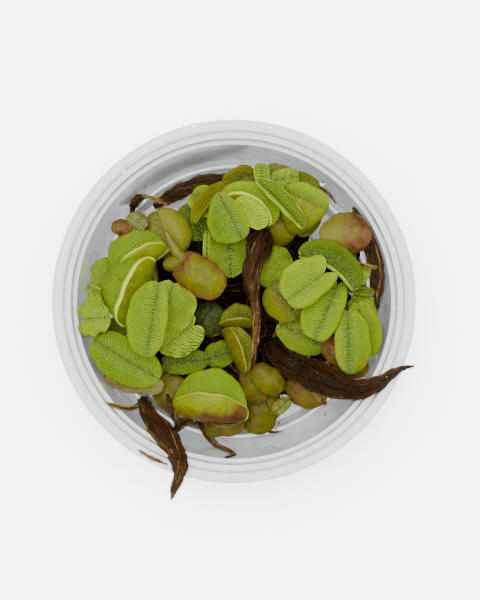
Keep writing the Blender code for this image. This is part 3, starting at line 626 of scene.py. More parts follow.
# The coarse blade's numbers are the solid model's own, so that a fine leaf can be laid over its solid
blade = dict(thickness=0.75, outlinePower=2.3, lobeSteepness=1.3, largeLeaf=8.9, largeGrid=(7, 6),
             smallGrid=(6, 4),
             fineGrid=(66, 28), fineSmallGrid=(52, 24), waveReach=2.5, crimpStep=1.1, ribSweep=0.13,
             ribRelief=0.09, ribbedFrom=0.3, ribbedRows=1.6,
             hairCount=600, hairRows=0.8, hairStep=0.45, hairLength=(0.25, 0.6), hairWidth=0.031,
             hairSpread=0.42, hairLean=1.0)


def sideCurve(arc, rise, curl, full):
    # offset and height of a half leaf's cross-section, an arc's length from the midrib
    start = math.radians(rise)
    bend = math.radians(curl) / full
    angle = start - bend * arc
    return (math.sin(start) - np.sin(angle)) / bend, (np.cos(angle) - math.cos(start)) / bend


def bent(one, run, offset, height):
    # bends a leaf down along its length by arch and sideways by sweep
    bend = math.radians(one["arch"]) / one["length"]
    start = math.radians(one["arch"]) / 2
    angle = start - bend * run
    level = (math.sin(start) - np.sin(angle)) / bend - height * np.sin(angle)
    lift = (np.cos(angle) - math.cos(start)) / bend + height * np.cos(angle)
    if one["sweep"]:
        bend = math.radians(one["sweep"]) / one["length"]
        start = -math.radians(one["sweep"]) / 2
        angle = start + bend * level
        level = (np.sin(angle) - math.sin(start)) / bend - offset * np.sin(angle)
        offset = (math.cos(start) - np.cos(angle)) / bend + offset * np.cos(angle)
    return np.stack([level, offset, lift], axis=-1)


def leafSurface(one, rows, columns):
    # a leaf's middle surface, how round its outline is at each row, and the place of each point on it
    along = (1.0 - np.cos(np.linspace(0.0, math.pi, rows + 1)[:, None])) / 2
    across = np.linspace(-1.0, 1.0, columns + 1)[None, :]
    centred = 2.0 * along ** (math.log(0.5) / math.log(one["widest"])) - 1.0
    rounded = np.sqrt(1.0 - np.abs(centred) ** blade["outlinePower"])
    blunt = np.where(centred < 0, one["ends"][0], one["ends"][1])
    half = blunt + (1.0 - blunt) * rounded
    spread = np.where(centred < 0, one["spread"][0], one["spread"][1])
    pastMidrib = np.sin(np.minimum(np.abs(across) * blade["lobeSteepness"], 1.0) * math.pi / 2)
    run = one["length"] * (along + spread * centred * np.abs(centred) ** 2 * pastMidrib)
    offset = np.zeros((rows + 1, columns + 1))
    height = np.zeros((rows + 1, columns + 1))
    place = np.zeros((rows + 1, columns + 1, 3))
    for side, sign in ((0, 1.0), (1, -1.0)):
        here = (across * sign >= 0)[0]
        full = one["width"][side] * half * raggedness(one, along, side)
        arc = np.abs(across[:, here]) * full
        out, up = sideCurve(arc, one["rise"][side], one["curl"][side], full)
        offset[:, here] = sign * out
        height[:, here] = up
        place[:, here, 1] = arc
        place[:, here, 2] = full - arc
    place[..., 0] = run
    toEnd = one["length"] * np.minimum(along, 1.0 - along) * 1.4
    place[..., 2] = np.minimum(place[..., 2], np.broadcast_to(toEnd, place.shape[:2]))
    height = height + ripple(one, run, across, place)
    return bent(one, run, offset, height), rounded, place


def raggedness(one, along, side):
    # a slightly uneven outline, different for each leaf and side
    if "looks" not in one:
        return 1.0
    start = one["heading"] + 2.1 * side
    uneven = np.sin(7.0 * along + start) + 0.7 * np.sin(17.0 * along + 2 * start)
    return 1.0 + one["looks"]["ragged"] * uneven


def ribRows(one, place):
    # which rib each point is on: square to the midrib at first, then sweeping towards the tip
    along, out = place[..., 0], place[..., 1]
    waver = (0.12 * np.sin(1.1 * along + 1.7 * out + one["heading"])
             + 0.05 * np.sin(2.9 * along - 1.3 * out))
    return (along - blade["ribSweep"] * out ** 2 + waver) / one["looks"]["spacing"]


def ripple(one, run, across, place):
    # raised ribs, wavy margins, and small crimps along the margin near the tip
    if "looks" not in one:
        return 0.0
    looks = one["looks"]
    side = np.where(across >= 0, 0.0, 1.7)
    outer = np.abs(across) ** blade["waveReach"]
    wave = looks["wave"] * outer * np.sin(turn * looks["folds"] * run / one["length"] + side)
    crimp = looks["crimp"] * outer ** 3 * np.sin(turn * run / blade["crimpStep"])
    crimp = crimp * (run / one["length"]) ** 4
    relief = looks["ribs"] * blade["ribRelief"] * np.sin(turn * ribRows(one, place))
    return wave + crimp + relief * np.minimum(place[..., 2], 1.0)


def turned(one, points):
    # turns and moves a leaf's own points to where it lies
    spin = Euler((0.0, math.radians(-one["pitch"]), math.radians(one["heading"])))
    return points @ np.array(spin.to_matrix()).T + np.array(one["at"])


def surfaceNormals(surface):
    normal = np.cross(np.gradient(surface, axis=0), np.gradient(surface, axis=1))
    return normal / np.maximum(np.linalg.norm(normal, axis=-1, keepdims=True), 1e-9)


def leafFaces(one, surface, rounded, thickness):
    half = thickness / 2 * np.sqrt(rounded)[:, :, None] * surfaceNormals(surface)
    return turned(one, surface + half), turned(one, surface - half), turned(one, surface)


def coarseBox(one):
    # the box of the plain solid before the solids were eased apart
    plain = {key: value for key, value in one.items() if key != "looks"}
    grid = blade["largeGrid"] if one["length"] > blade["largeLeaf"] else blade["smallGrid"]
    surface, rounded, _ = leafSurface(plain, *grid)
    top, under, rim = leafFaces(plain, surface, rounded, blade["thickness"])
    inner = (slice(1, -1), slice(1, -1))
    points = np.vstack([top[inner].reshape(-1, 3), under[inner].reshape(-1, 3),
                        rim[0], rim[-1], rim[:, 0], rim[:, -1]])
    return points.min(axis=0), points.max(axis=0)


def solidShift(name, one):
    # how far the solid model's leaf was moved to lie clear of its neighbours
    low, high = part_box(name)
    coarseLow, coarseHigh = coarseBox(one)
    return (np.array(low) / mm + np.array(high) / mm - coarseLow - coarseHigh) / 2


def leafHairs(one, top, place, columns, seed):
    # short pale hairs on the upper face: in rows beside the midrib, leaning outwards, and a few elsewhere
    random = np.random.default_rng(seed)
    looks = one["looks"]
    count = int(blade["hairCount"] * looks["hairs"] * one["length"] / 12)
    rows = top.shape[0] - 1
    inRows = random.uniform(size=count) < blade["hairRows"]
    wanted = random.uniform(0.06, 0.93, count) * one["length"]
    lined = (np.round(wanted / blade["hairStep"]) + random.normal(0.0, 0.13, count)) * blade["hairStep"]
    wanted = np.where(inRows, lined, wanted)
    row = np.clip(np.searchsorted(place[:, columns // 2, 0], wanted), 1, rows - 1)
    side = np.where(random.uniform(size=count) < 0.5, -1.0, 1.0)
    out = np.where(inRows, random.uniform(0.04, 1.0, count) ** 1.4 * blade["hairSpread"],
                   random.uniform(0.04, 0.94, count))
    column = np.clip(np.round((side * out + 1.0) / 2 * columns).astype(int), 1, columns - 1)
    here = top[row, column]
    normal = surfaceNormals(top)[row, column]
    outward = (top[row, np.clip(column + np.sign(side).astype(int), 0, columns)] - here)
    outward /= np.maximum(np.linalg.norm(outward, axis=1, keepdims=True), 1e-6)
    onward = top[np.clip(row + 1, 0, rows), column] - here
    onward /= np.maximum(np.linalg.norm(onward, axis=1, keepdims=True), 1e-6)
    lift = random.uniform(0.25, 0.9, (count, 1))
    direction = normal * lift + outward * blade["hairLean"] + onward * 0.35
    direction = direction + random.normal(0.0, 0.2, (count, 3))
    direction /= np.linalg.norm(direction, axis=1, keepdims=True)
    length = random.uniform(*blade["hairLength"], count) * np.where(inRows, 1.0, 0.5)
    side = np.cross(direction, random.normal(size=(count, 3)))
    side /= np.linalg.norm(side, axis=1, keepdims=True)
    other = np.cross(direction, side)
    width = blade["hairWidth"] * random.uniform(0.6, 1.3, (count, 1))
    base = here - normal * 0.04
    corners = [base + width * (math.cos(a) * side + math.sin(a) * other)
               for a in (0.0, turn / 3, 2 * turn / 3)]
    tip = here + direction * length[:, None]
    points = np.stack([*corners, tip], axis=1).reshape(-1, 3)
    first = np.arange(count) * 4
    faces = [(f + a, f + b, f + 3) for f in first for a, b in ((0, 1), (1, 2), (2, 0))]
    faces += [(f + 2, f + 1, f) for f in first]
    return points, faces


def addLeaf(name, one, shift, seed, stands=()):
    rows, columns = blade["fineGrid"] if one["length"] > blade["largeLeaf"] else blade["fineSmallGrid"]
    if one["looks"]["ribs"] > blade["ribbedFrom"]:
        rows = int(rows * blade["ribbedRows"])
    surface, rounded, place = leafSurface(one, rows, columns)
    top, under, rim = (face + shift for face in leafFaces(one, surface, rounded, blade["thickness"]))
    top[0], top[-1], top[:, 0], top[:, -1] = rim[0], rim[-1], rim[:, 0], rim[:, -1]
    inner = (slice(1, -1), slice(1, -1))
    size = (rows + 1) * (columns + 1)
    topIndex = np.arange(size).reshape(rows + 1, columns + 1)
    underIndex = topIndex.copy()
    underIndex[inner] = size + np.arange((rows - 1) * (columns - 1)).reshape(rows - 1, columns - 1)

    def quads(index, flip):
        corners = [index[:-1, :-1], index[1:, :-1], index[1:, 1:], index[:-1, 1:]]
        return np.stack(corners[::-1] if flip else corners, axis=-1).reshape(-1, 4)

    looks = one["looks"]
    topLook = {"ribbed": 0, "smooth": 1}
    left = topLook[looks["leftTop"] or looks["top"]]
    right = topLook[looks["rightTop"] or looks["top"]]
    faceLooks = np.full((rows, columns), left)
    faceLooks[:, :columns // 2] = right
    hairPoints, hairFaces = leafHairs(one, top, place, columns, seed)
    points = np.vstack([top.reshape(-1, 3), under[inner].reshape(-1, 3), hairPoints])
    bladeCount = len(points) - len(hairPoints)
    faces = [*quads(topIndex, False), *quads(underIndex, True),
             *[tuple(corner + bladeCount for corner in face) for face in hairFaces]]
    faceLooks = [*faceLooks.ravel(), *np.full(rows * columns, 1), *np.full(len(hairFaces), 2)]
    places = np.vstack([place.reshape(-1, 3), place[inner].reshape(-1, 3), np.zeros((len(hairPoints), 3))])
    toneA = np.tile((looks["ribs"], looks["hair"], looks["light"], looks["pale"]), (len(points), 1))
    toneB = np.tile((looks["margin"], looks["band"], looks["brown"], looks["beads"]), (len(points), 1))
    leftSide = np.broadcast_to(np.linspace(-1.0, 1.0, columns + 1)[None, :], place.shape[:2])
    leftSide = np.concatenate([leftSide.ravel(), leftSide[inner].ravel(), np.zeros(len(hairPoints))])
    along = places[:, 0] / one["length"]
    towardsTip = np.clip(along * 2.2 - 0.1, 0.2, 1)
    browning = {"all": np.ones(len(points)),
                "tip": np.clip(along * 1.6 - 0.4, 0, 1),
                "fold": np.clip(1.6 - places[:, 1] / 5.2, 0, 1) * (leftSide < 0) * towardsTip,
                "right": np.clip(-leftSide * 2.0, 0, 1),
                "left": np.clip(leftSide * 2.0, 0, 1),
                "margin": np.clip(1.2 - places[:, 2] / 1.5, 0, 1)}
    toneB[:, 2] *= browning[looks["brownAt"]]
    rows = ribRows(one, places)
    kind = one["kind"]
    return addPiece(name, points, faces, [kind + " ribbed", kind + " smooth", "hair"],
                    stands,
                    faceLooks, dict(place=places, toneA=toneA, toneB=toneB, ribRow=rows))


def addLeaves():
    for seed, (name, one) in enumerate(leaves.items()):
        addLeaf(name + "_blade", one, solidShift(name, one), seed, stands=[name])
    for seed, (name, one) in enumerate(smallLeaves.items()):
        addLeaf(name, one, np.zeros(3), 100 + seed)
    print("leaves made:", len(leaves), "large and", len(smallLeaves), "small")


# Tubes: strands of root, stems and stalks

def smoothRun(points, radii, steps):
    # a Catmull-Rom curve through the points, with the radius carried along
    knots = np.column_stack([np.array(points, float), np.array(radii, float)])
    knots = np.vstack([2 * knots[0] - knots[1], knots, 2 * knots[-1] - knots[-2]])
    t = np.linspace(0.0, len(knots) - 3 - 1e-6, steps)
    number = t.astype(int)
    t = (t - number)[:, None]
    a, b, c, d = (knots[number + step] for step in range(4))
    run = 0.5 * (2 * b + (c - a) * t + (2 * a - 5 * b + 4 * c - d) * t ** 2
                 + (3 * b - a - 3 * c + d) * t ** 3)
    return run[:, :3], np.maximum(run[:, 3], 0.02)


def crossAxes(run):
    # two directions square to the run at each point, carried along without twisting
    ahead = np.gradient(run, axis=0)
    ahead /= np.linalg.norm(ahead, axis=1, keepdims=True)
    side = np.cross(ahead[0], (0.3, 0.2, 1.0))
    first = []
    for direction in ahead:
        side = side - direction * np.dot(side, direction)
        side = side / np.linalg.norm(side)
        first.append(side)
    first = np.array(first)
    return first, np.cross(ahead, first)


class Strands:
    # gathers many closed tubes into one mesh
    def __init__(self):
        self.points, self.faces, self.shades, self.count = [], [], [], 0

    def add(self, run, radii, sides=5, shade=0.0, rough=0.0):
        first, second = crossAxes(run)
        angles = np.linspace(0.0, turn, sides, endpoint=False)
        ring = first[:, None] * np.cos(angles)[:, None] + second[:, None] * np.sin(angles)[:, None]
        lumps = 1.0 + rough * (np.sin(5 * angles + run[0, 0]) + np.sin(11 * angles + run[0, 1]))
        points = run[:, None] + ring * np.asarray(radii)[:, None, None] * lumps[:, None]
        rows = len(run)
        start = self.count
        index = start + np.arange(rows * sides).reshape(rows, sides)
        beside = np.roll(index, -1, axis=1)
        quads = np.stack([index[:-1], beside[:-1], beside[1:], index[1:]], axis=-1).reshape(-1, 4)
        self.faces += [tuple(face) for face in quads]
        self.faces += [tuple(index[0][::-1]), tuple(index[-1])]
        self.points.append(points.reshape(-1, 3))
        self.shades.append(np.broadcast_to(np.reshape(shade, (-1, 1)), (rows, sides)).ravel())
        self.count += rows * sides

    def place(self, name, look, slotName, stands=()):
        return addPiece(name, np.vstack(self.points), self.faces, [look], stands,
                        stores={"shade": np.concatenate(self.shades)})


# The roots. Each is a bundle of fine strands round a dark core: its points, then its radius at each.
# loose is how far strands stray from the bundle, tan how many of them are light, tone makes all
# of them lighter, and tipTone lightens them towards the tip.

def bundle(points, radii, strands=70, loose=0.25, tan=0.2, tone=0.0, tipTone=0.0):
    return dict(points=points, radii=radii, strands=strands, loose=loose, tan=tan, tone=tone,
                tipTone=tipTone)


roots = {
    "middle_root": bundle(
        [(5.8, 15.0, 17.0), (5.2, 11.2, 20.0), (3.7, 6.5, 21.5), (4.2, 1.5, 21.5), (4.7, -4.0, 20.5),
         (4.3, -9.0, 19.0), (3.7, -14.2, 17.5)],
        [2.0, 2.3, 1.65, 0.95, 0.7, 0.55, 0.3], strands=170, loose=0.4, tan=0.12, tipTone=0.9),
    "right_root": bundle(
        [(7.5, -9.0, 11.5), (11.0, -12.5, 14.0), (15.5, -14.8, 17.0), (20.5, -16.9, 20.5),
         (25.0, -18.4, 24.2), (28.9, -17.2, 27.9), (32.0, -15.0, 29.9), (34.6, -13.6, 29.9),
         (37.0, -13.2, 29.4)],
        [1.6, 2.6, 2.9, 2.6, 1.9, 1.3, 0.9, 0.4, 0.15], strands=170, loose=0.5, tan=0.02, tone=-0.05,
        tipTone=0.4),
    "front_root": bundle(
        [(-19.2, -20.5, 17.5), (-17.6, -23.8, 20.5), (-14.8, -27.0, 24.0), (-12.3, -30.2, 28.0),
         (-11.0, -33.4, 30.1), (-11.4, -36.2, 30.0), (-12.4, -38.6, 28.6), (-12.9, -41.0, 26.4)],
        [1.0, 1.7, 2.1, 1.8, 1.45, 1.0, 0.65, 0.15], strands=150, loose=0.35, tan=0.04, tone=0.12),
    "back_root": bundle(
        [(-17.5, 20.6, 4.5), (-14.4, 22.6, 4.0), (-9.6, 25.0, 3.6), (-4.2, 26.2, 4.2), (0.6, 26.0, 6.0),
         (3.0, 24.0, 9.0)],
        [0.8, 1.3, 1.5, 1.4, 1.2, 0.6], strands=110, loose=0.3, tan=0.2, tone=0.08),
    "side_root": bundle(
        [(25.0, 19.6, 20.5), (26.6, 16.4, 18.6), (28.6, 11.8, 17.6), (30.0, 6.5, 17.2), (30.1, 2.4, 17.4),
         (30.2, -1.6, 18.0)],
        [0.35, 0.8, 1.3, 1.5, 1.2, 0.3], strands=110, loose=0.3, tan=0.12, tone=0.15),
    "left_hanging_root": bundle(
        [(-16.0, 0.0, 13.0), (-19.5, -1.0, 7.0), (-21.0, -6.0, 3.6), (-19.0, -13.0, 2.8),
         (-13.5, -18.5, 2.6)],
        [1.4, 2.2, 2.1, 1.7, 0.4], strands=90, loose=0.5, tan=0.3),
    "right_hanging_root": bundle(
        [(19.0, 3.0, 12.5), (21.5, 1.0, 7.0), (22.0, -5.0, 3.6), (18.0, -12.5, 2.8), (10.0, -17.0, 2.6)],
        [1.4, 2.2, 2.1, 1.7, 0.4], strands=90, loose=0.5, tan=0.3),
    "middle_hanging_root": bundle(
        [(0.0, 9.0, 11.0), (-1.0, 6.0, 6.0), (1.0, 0.0, 3.6), (4.0, -7.0, 2.8), (1.5, -14.0, 2.6)],
        [1.5, 2.4, 2.3, 1.8, 0.4], strands=90, loose=0.5, tan=0.3),
}

# Thin roots that lie among the leaves
thinRoots = {
    "darkRootEnd": bundle([(-18.6, 22.6, 9.0), (-20.4, 22.2, 9.0), (-21.6, 20.8, 8.8), (-22.0, 18.8, 8.4)],
                          [0.5, 0.9, 1.0, 0.5], strands=24, tan=0.1, tone=0.1),
    "yellowSliver": bundle([(-19.6, 22.6, 12.0), (-16.8, 21.8, 12.4), (-13.8, 20.5, 12.2)],
                           [0.35, 0.5, 0.25],
                           strands=8, tan=1.0, loose=0.05, tone=0.8),
    "shortRoot": bundle([(-26.8, -20.9, 23.2), (-25.0, -21.7, 21.5), (-22.9, -22.4, 19.5),
                         (-20.6, -22.1, 18.0), (-19.7, -21.0, 17.5)],
                        [0.3, 0.4, 0.55, 0.6, 0.4], strands=18, tan=1.0, loose=0.1, tone=0.5),
    "crossRoot": bundle([(-12.3, -27.0, 19.5), (-10.4, -25.7, 17.5), (-8.7, -24.6, 16.6),
                         (-7.2, -22.9, 16.0)],
                        [0.8, 0.7, 0.6, 0.4], strands=22, tan=0.2, loose=0.2, tone=0.1),
    "bentRoot": bundle([(-14.2, -19.6, 16.5), (-13.5, -21.6, 17.6), (-12.7, -23.5, 18.2),
                        (-12.0, -25.8, 19.5)],
                       [0.4, 0.6, 0.7, 0.6], strands=22, tan=0.4, loose=0.15, tone=0.2),
    "paleStrip": bundle([(-12.3, -24.3, 18.6), (-10.4, -23.3, 17.6), (-8.5, -22.1, 16.4)],
                        [0.25, 0.3, 0.2],
                        strands=6, tan=1.0, loose=0.03, tone=0.9),
    "hookRoot": bundle([(-8.6, -20.8, 15.8), (-8.1, -23.0, 15.0), (-6.0, -27.8, 12.0), (-3.9, -30.5, 11.0),
                        (-0.9, -31.7, 15.5), (0.0, -32.1, 17.5), (-1.9, -32.6, 20.8)],
                       [0.9, 1.1, 0.8, 0.5, 0.45, 0.4, 0.25], strands=30, tan=0.5, loose=0.15, tone=0.3,
                       tipTone=0.4),
    "tanStub": bundle([(16.2, -18.2, 15.5), (17.6, -19.4, 15.0), (18.8, -20.6, 14.4), (19.3, -21.8, 13.8)],
                      [0.5, 0.7, 0.9, 0.6], strands=30, tan=1.0, loose=0.05, tone=0.7),
    "hairFringe": bundle([(-6.3, -24.6, 13.6), (-4.1, -25.9, 13.6), (-1.3, -26.2, 13.4),
                          (1.6, -25.2, 13.0), (3.4, -23.2, 12.6)], [0.2, 0.35, 0.4, 0.35, 0.2],
                          strands=18, tan=1.0, loose=0.5,
                         tone=0.6),
    "yellowStub": bundle([(25.4, 8.0, 20.5), (28.0, 7.4, 20.6), (30.2, 6.9, 20.4)], [0.4, 0.42, 0.25],
                         strands=10, tan=1.0, loose=0.05, tone=0.7),
}

strandLook = dict(core=0.78, reach=(0.8, 1.08), width=(0.04, 0.12), steps=26, waver=0.09, fringe=1.6,
                  fringeLength=(0.35, 1.3), fringeRadii=(0.045, 0.04, 0.03, 0.02), twist=(0.4, 1.6),
                  tangleCount=300, tangleMiddle=(3.0, -4.0), tangleRadius=17.0, tangleHeight=(7.5, 13.0),
                  tangleStep=2.4, tangleRange=(8.5, 14.0), tangleWidth=(0.16, 0.05), matDepth=2.2,
                  matPads=[(-13.0, 2.0, 7.5, 8.0), (-10.0, 10.0, 6.5, 8.4), (0.0, 12.0, 8.0, 7.6),
                           (1.0, 2.0, 9.5, 7.2), (11.0, 8.0, 8.5, 7.8), (17.0, -2.0, 7.5, 8.2),
                           (6.0, -8.0, 8.5, 7.4), (-8.0, -8.0, 8.0, 7.9), (-2.0, -16.0, 6.5, 7.0),
                           (21.0, 7.0, 6.5, 8.8), (23.0, -3.0, 5.5, 8.6), (-19.0, 4.0, 6.0, 8.4),
                           (-14.0, -12.0, 6.0, 8.0), (8.0, 17.0, 6.5, 8.2), (8.0, -16.0, 5.5, 7.2)])


def rootFinish():
    made, tree, shader = startMaterial("rootStrands", Roughness=0.3, Specular_IOR_Level=0.04)
    shade = stored(tree, "shade")
    amount = add(tree, shade, stretch(tree, cloud(tree, 0.9, 4.0, 0.65), 1.3, -0.65))
    skin = blendColour(tree, fade(tree, amount, -0.1, 0.5), colour(12, 6, 1), colour(38, 20, 5))
    skin = blendColour(tree, fade(tree, amount, 0.5, 1.0), skin, colour(70, 50, 24))
    skin = blendColour(tree, fade(tree, amount, 1.0, 1.7), skin, colour(116, 98, 46))
    # painted highlights: pale specks that stand for glints off the wet strands
    paintedGlints = fade(tree, cloud(tree, 3.4, 2.0), 0.62, 0.72)
    skin = tint(tree, skin, colour(100, 78, 50), paintedGlints, 0.35)
    tree.links.new(skin, shader.inputs["Base Color"])
    addBump(tree, shader, cloud(tree, 3.0, 3.0, 0.6), 0.05)
    return made


def rootMatShadeFinish():
    # near-black and without sheen: partly matted roots, partly painted shade in the gaps between the
    # leaves
    made, tree, shader = startMaterial("rootMatShade", Roughness=0.8, Specular_IOR_Level=0.0)
    tree.links.new(blendColour(tree, cloud(tree, 0.8, 3.0), colour(3, 2, 1), colour(11, 7, 3)),
                   shader.inputs["Base Color"])
    addBump(tree, shader, cloud(tree, 1.2, 4.0, 0.6), 0.3)
    return made


def stray(random, steps, size, bends=6):
    # a wandering offset along a strand
    knots = random.normal(0.0, size, (bends + 1, 3))
    t = np.linspace(0, bends, steps)
    return np.stack([np.interp(t, range(bends + 1), knots[:, axis]) for axis in range(3)], axis=1)


def addBundle(name, one, seed, stands=()):
    random = np.random.default_rng(seed)
    strands = Strands()
    steps = strandLook["steps"]
    run, radii = smoothRun(one["points"], one["radii"], steps * 2)
    first, second = crossAxes(run)
    t = np.linspace(0.0, 1.0, len(run))
    lumps = 1.0 + 0.1 * np.sin(23 * t + seed) + 0.08 * np.sin(51 * t + 2 * seed)
    # the core is a little darker than its strands: painted shade inside the bundle
    strands.add(run, radii * strandLook["core"] * lumps, sides=14, shade=one["tone"] - 0.15)
    for _ in range(one["strands"]):
        start = random.uniform(-0.1, 0.35)
        end = random.uniform(0.6, 1.0)
        t = np.linspace(max(start, 0.0), end, steps)
        at = t * (len(run) - 1)
        low = np.minimum(at.astype(int), len(run) - 2)
        part = (at - low)[:, None]

        def along(values):
            return values[low] * (1 - part) + values[low + 1] * part

        around = random.uniform(0, turn) + random.uniform(*strandLook["twist"]) * t * 2.0
        reach = random.uniform(*strandLook["reach"]) * np.interp(t, np.linspace(0, 1, len(lumps)), lumps)
        radius = along(radii[:, None])[:, 0]
        centre = along(run)
        spoke = along(first) * np.cos(around)[:, None] + along(second) * np.sin(around)[:, None]
        width = random.uniform(*strandLook["width"]) * (0.5 + 0.5 * min(radii.max(), 2.0) / 2.0)
        slack = np.minimum(radius / 1.6, 1.0)[:, None]
        path = centre + spoke * (radius * reach)[:, None] + stray(random, steps,
                                                                  one["loose"] * 0.5) * slack
        path = path + stray(random, steps, strandLook["waver"], steps // 2)
        taper = np.interp(t, [t[0], t[0] + 0.05, t[-1] - 0.1, t[-1]], [0.6, 1.0, 0.9, 0.3])
        shade = random.uniform(0.7, 1.2) if random.uniform() < one["tan"] else random.uniform(-0.1, 0.5)
        strands.add(path, width * taper, sides=4, shade=one["tone"] + shade + one["tipTone"] * t ** 2)
    # rootlets that stand out from the bundle all along it
    for _ in range(int(one["strands"] * strandLook["fringe"])):
        at = random.integers(1, len(run) - 2)
        around = random.uniform(0, turn)
        spoke = first[at] * math.cos(around) + second[at] * math.sin(around)
        onward = run[at + 1] - run[at]
        onward /= np.linalg.norm(onward)
        reach = random.uniform(*strandLook["fringeLength"]) * min(1.0, 0.4 + radii[at] / 2.5)
        lean = spoke * random.uniform(0.3, 1.0) + onward * random.uniform(0.3, 1.4)
        lean = lean + random.normal(0.0, 0.25, 3)
        start = run[at] + spoke * radii[at] * 0.85
        path = start + lean * np.linspace(0.0, reach, 4)[:, None] + stray(random, 4, 0.05)
        strands.add(path, strandLook["fringeRadii"], sides=3,
                    shade=one["tone"] + random.uniform(-0.1, 0.7))
    strands.place(name, "root", "root", stands)


def addTangle():
    # a near-black mat of roots under the leaves, partly matted roots and partly painted shade that darkens
    # the gaps, with loose threads over it
    random = np.random.default_rng(77)
    mat = Strands()
    for x, y, reach, level in strandLook["matPads"]:
        height = np.linspace(-1.0, 1.0, 9)
        run = np.array((x, y, level)) + height[:, None] * (0.0, 0.0, strandLook["matDepth"])
        mat.add(run, reach * np.sqrt(1.0 - 0.97 * height ** 2), sides=40, rough=0.1)
    mat.place("rootMatShade", "mat", "root")
    strands = Strands()
    for _ in range(strandLook["tangleCount"]):
        angle, radius = random.uniform(0, turn), strandLook["tangleRadius"] * math.sqrt(random.uniform())
        middle = strandLook["tangleMiddle"]
        start = np.array([middle[0] + radius * math.cos(angle), middle[1] + radius * math.sin(angle),
                          random.uniform(*strandLook["tangleHeight"])])
        heading = random.uniform(0, turn)
        points = [start]
        for _ in range(4):
            heading += random.normal(0.0, 0.7)
            step = np.array([strandLook["tangleStep"] * math.cos(heading),
                             strandLook["tangleStep"] * math.sin(heading), random.normal(-0.5, 0.9)])
            following = points[-1] + step
            following[2] = np.clip(following[2], *strandLook["tangleRange"])
            points.append(following)
        widths = np.linspace(*strandLook["tangleWidth"], len(points)) * random.uniform(0.7, 1.6)
        run, radii = smoothRun(points, widths, 14)
        strands.add(run, radii, sides=5, shade=random.uniform(-0.2, 0.6))
    strands.place("rootTangle", "root", "root")


def addRoots():
    for seed, (name, one) in enumerate(roots.items()):
        addBundle(name + "_strands", one, 200 + seed, stands=[name])
    for seed, (name, one) in enumerate(thinRoots.items()):
        addBundle(name, one, 300 + seed)
    addTangle()
    print("roots made:", len(roots) + len(thinRoots), "bundles")


# The stems, and a stalk from each leaf down to the nearest stem: points, then the radius at each end

stems = {
    "left_stem": ([(-17.4, 8.6, 13.0), (-16.8, 3.6, 14.6), (-17.0, -3.0, 14.0), (-14.5, -9.5, 13.5),
                   (-13.0, -13.0, 12.0)], (0.8, 0.7)),
    "back_stem": ([(-14.4, 14.6, 17.5), (-12.8, 11.6, 16.8), (-11.0, 8.8, 15.8)], (0.5, 1.6)),
    "middle_stem": ([(-9.5, -6.5, 8.8), (-6.0, -6.4, 8.4), (-2.0, -8.0, 8.2), (4.0, -9.0, 9.0),
                     (9.0, -9.0, 8.0)], (0.6, 0.7)),
    "front_stem": ([(-13.0, -22.5, 10.0), (-11.0, -26.0, 9.5), (-8.2, -24.2, 8.0), (-2.0, -20.0, 8.0),
                    (8.0, -20.0, 7.0)], (0.6, 0.6)),
    "right_stem": ([(15.0, 7.0, 14.5), (20.0, 4.5, 15.5), (23.5, -2.0, 14.0), (22.0, -8.0, 12.0)],
                   (0.8, 0.7)),
}

stalk = dict(baseRadius=0.5, tipRadius=0.3, dive=3.5, steps=16, longest=9.0)

# Stems that lie under the leaves
hiddenStems = {
    "topStem": ([(-2.0, 20.0, 12.5), (3.0, 21.5, 13.0), (8.0, 20.0, 12.0), (11.0, 15.0, 11.0)],
                (0.7, 0.6)),
    "backLeftStem": ([(-16.0, 16.0, 10.5), (-10.0, 17.0, 10.0), (-5.0, 19.0, 10.5)], (0.6, 0.6)),
    "centreStem": ([(-12.0, 6.0, 12.0), (-6.0, 8.0, 11.5), (0.0, 9.0, 11.0), (5.0, 6.0, 11.0)],
                   (0.7, 0.6)),
    "farRightStem": ([(23.0, 14.0, 13.5), (25.5, 9.0, 13.0), (24.5, 2.0, 12.5)], (0.6, 0.6)),
}


def stemFinish():
    made, tree, shader = startMaterial("stems", Roughness=0.4, Specular_IOR_Level=0.12)
    patches = fade(tree, cloud(tree, 0.4, 4.0, 0.6), 0.35, 0.7)
    skin = blendColour(tree, patches, colour(68, 62, 12), colour(44, 28, 10))
    tree.links.new(skin, shader.inputs["Base Color"])
    addBump(tree, shader, cloud(tree, 2.2, 3.0, 0.6), 0.08)
    return made


def petioleFinish():
    made, tree, shader = startMaterial("petiole", Roughness=0.35, Specular_IOR_Level=0.12)
    patches = fade(tree, cloud(tree, 0.3, 4.0, 0.6), 0.35, 0.7)
    tree.links.new(blendColour(tree, patches, colour(72, 70, 8), colour(56, 46, 12)),
                   shader.inputs["Base Color"])
    addBump(tree, shader, cloud(tree, 1.6, 3.0, 0.6), 0.12)
    return made


def addStems():
    runs = []
    for name, (points, ends) in stems.items():
        run, radii = smoothRun(points, np.linspace(*ends, len(points)), 40)
        runs.append(run)
        strands = Strands()
        strands.add(run, radii, sides=16)
        strands.place(name + "_fine", "petiole" if name == "back_stem" else "stem", "stem", stands=[name])
    hidden = Strands()
    for points, ends in hiddenStems.values():
        run, radii = smoothRun(points, np.linspace(*ends, len(points)), 30)
        runs.append(run)
        hidden.add(run, radii, sides=12)
    hidden.place("hiddenStems", "stem", "stem")
    everyStem = np.vstack(runs)
    stalks = Strands()
    for name, one in leaves.items():
        start = np.array(one["at"]) + solidShift(name, one)
        nearest = everyStem[np.argmin(np.linalg.norm(everyStem - start, axis=1))]
        if np.linalg.norm(nearest - start) > stalk["longest"]:
            continue
        below = start * (0.85, 0.85, 1.0) + nearest * (0.15, 0.15, 0.0) - (0.0, 0.0, stalk["dive"])
        below[2] = max(below[2], nearest[2])
        widths = [stalk["tipRadius"], stalk["tipRadius"], stalk["baseRadius"]]
        run, radii = smoothRun([start, below, nearest], widths, stalk["steps"])
        stalks.add(run, radii, sides=8)
    stalks.place("leafStalks", "stem", "stem")
    print("stems made:", len(stems))


# Water drops on the cup and the leaves, as (x, y, z, radius)

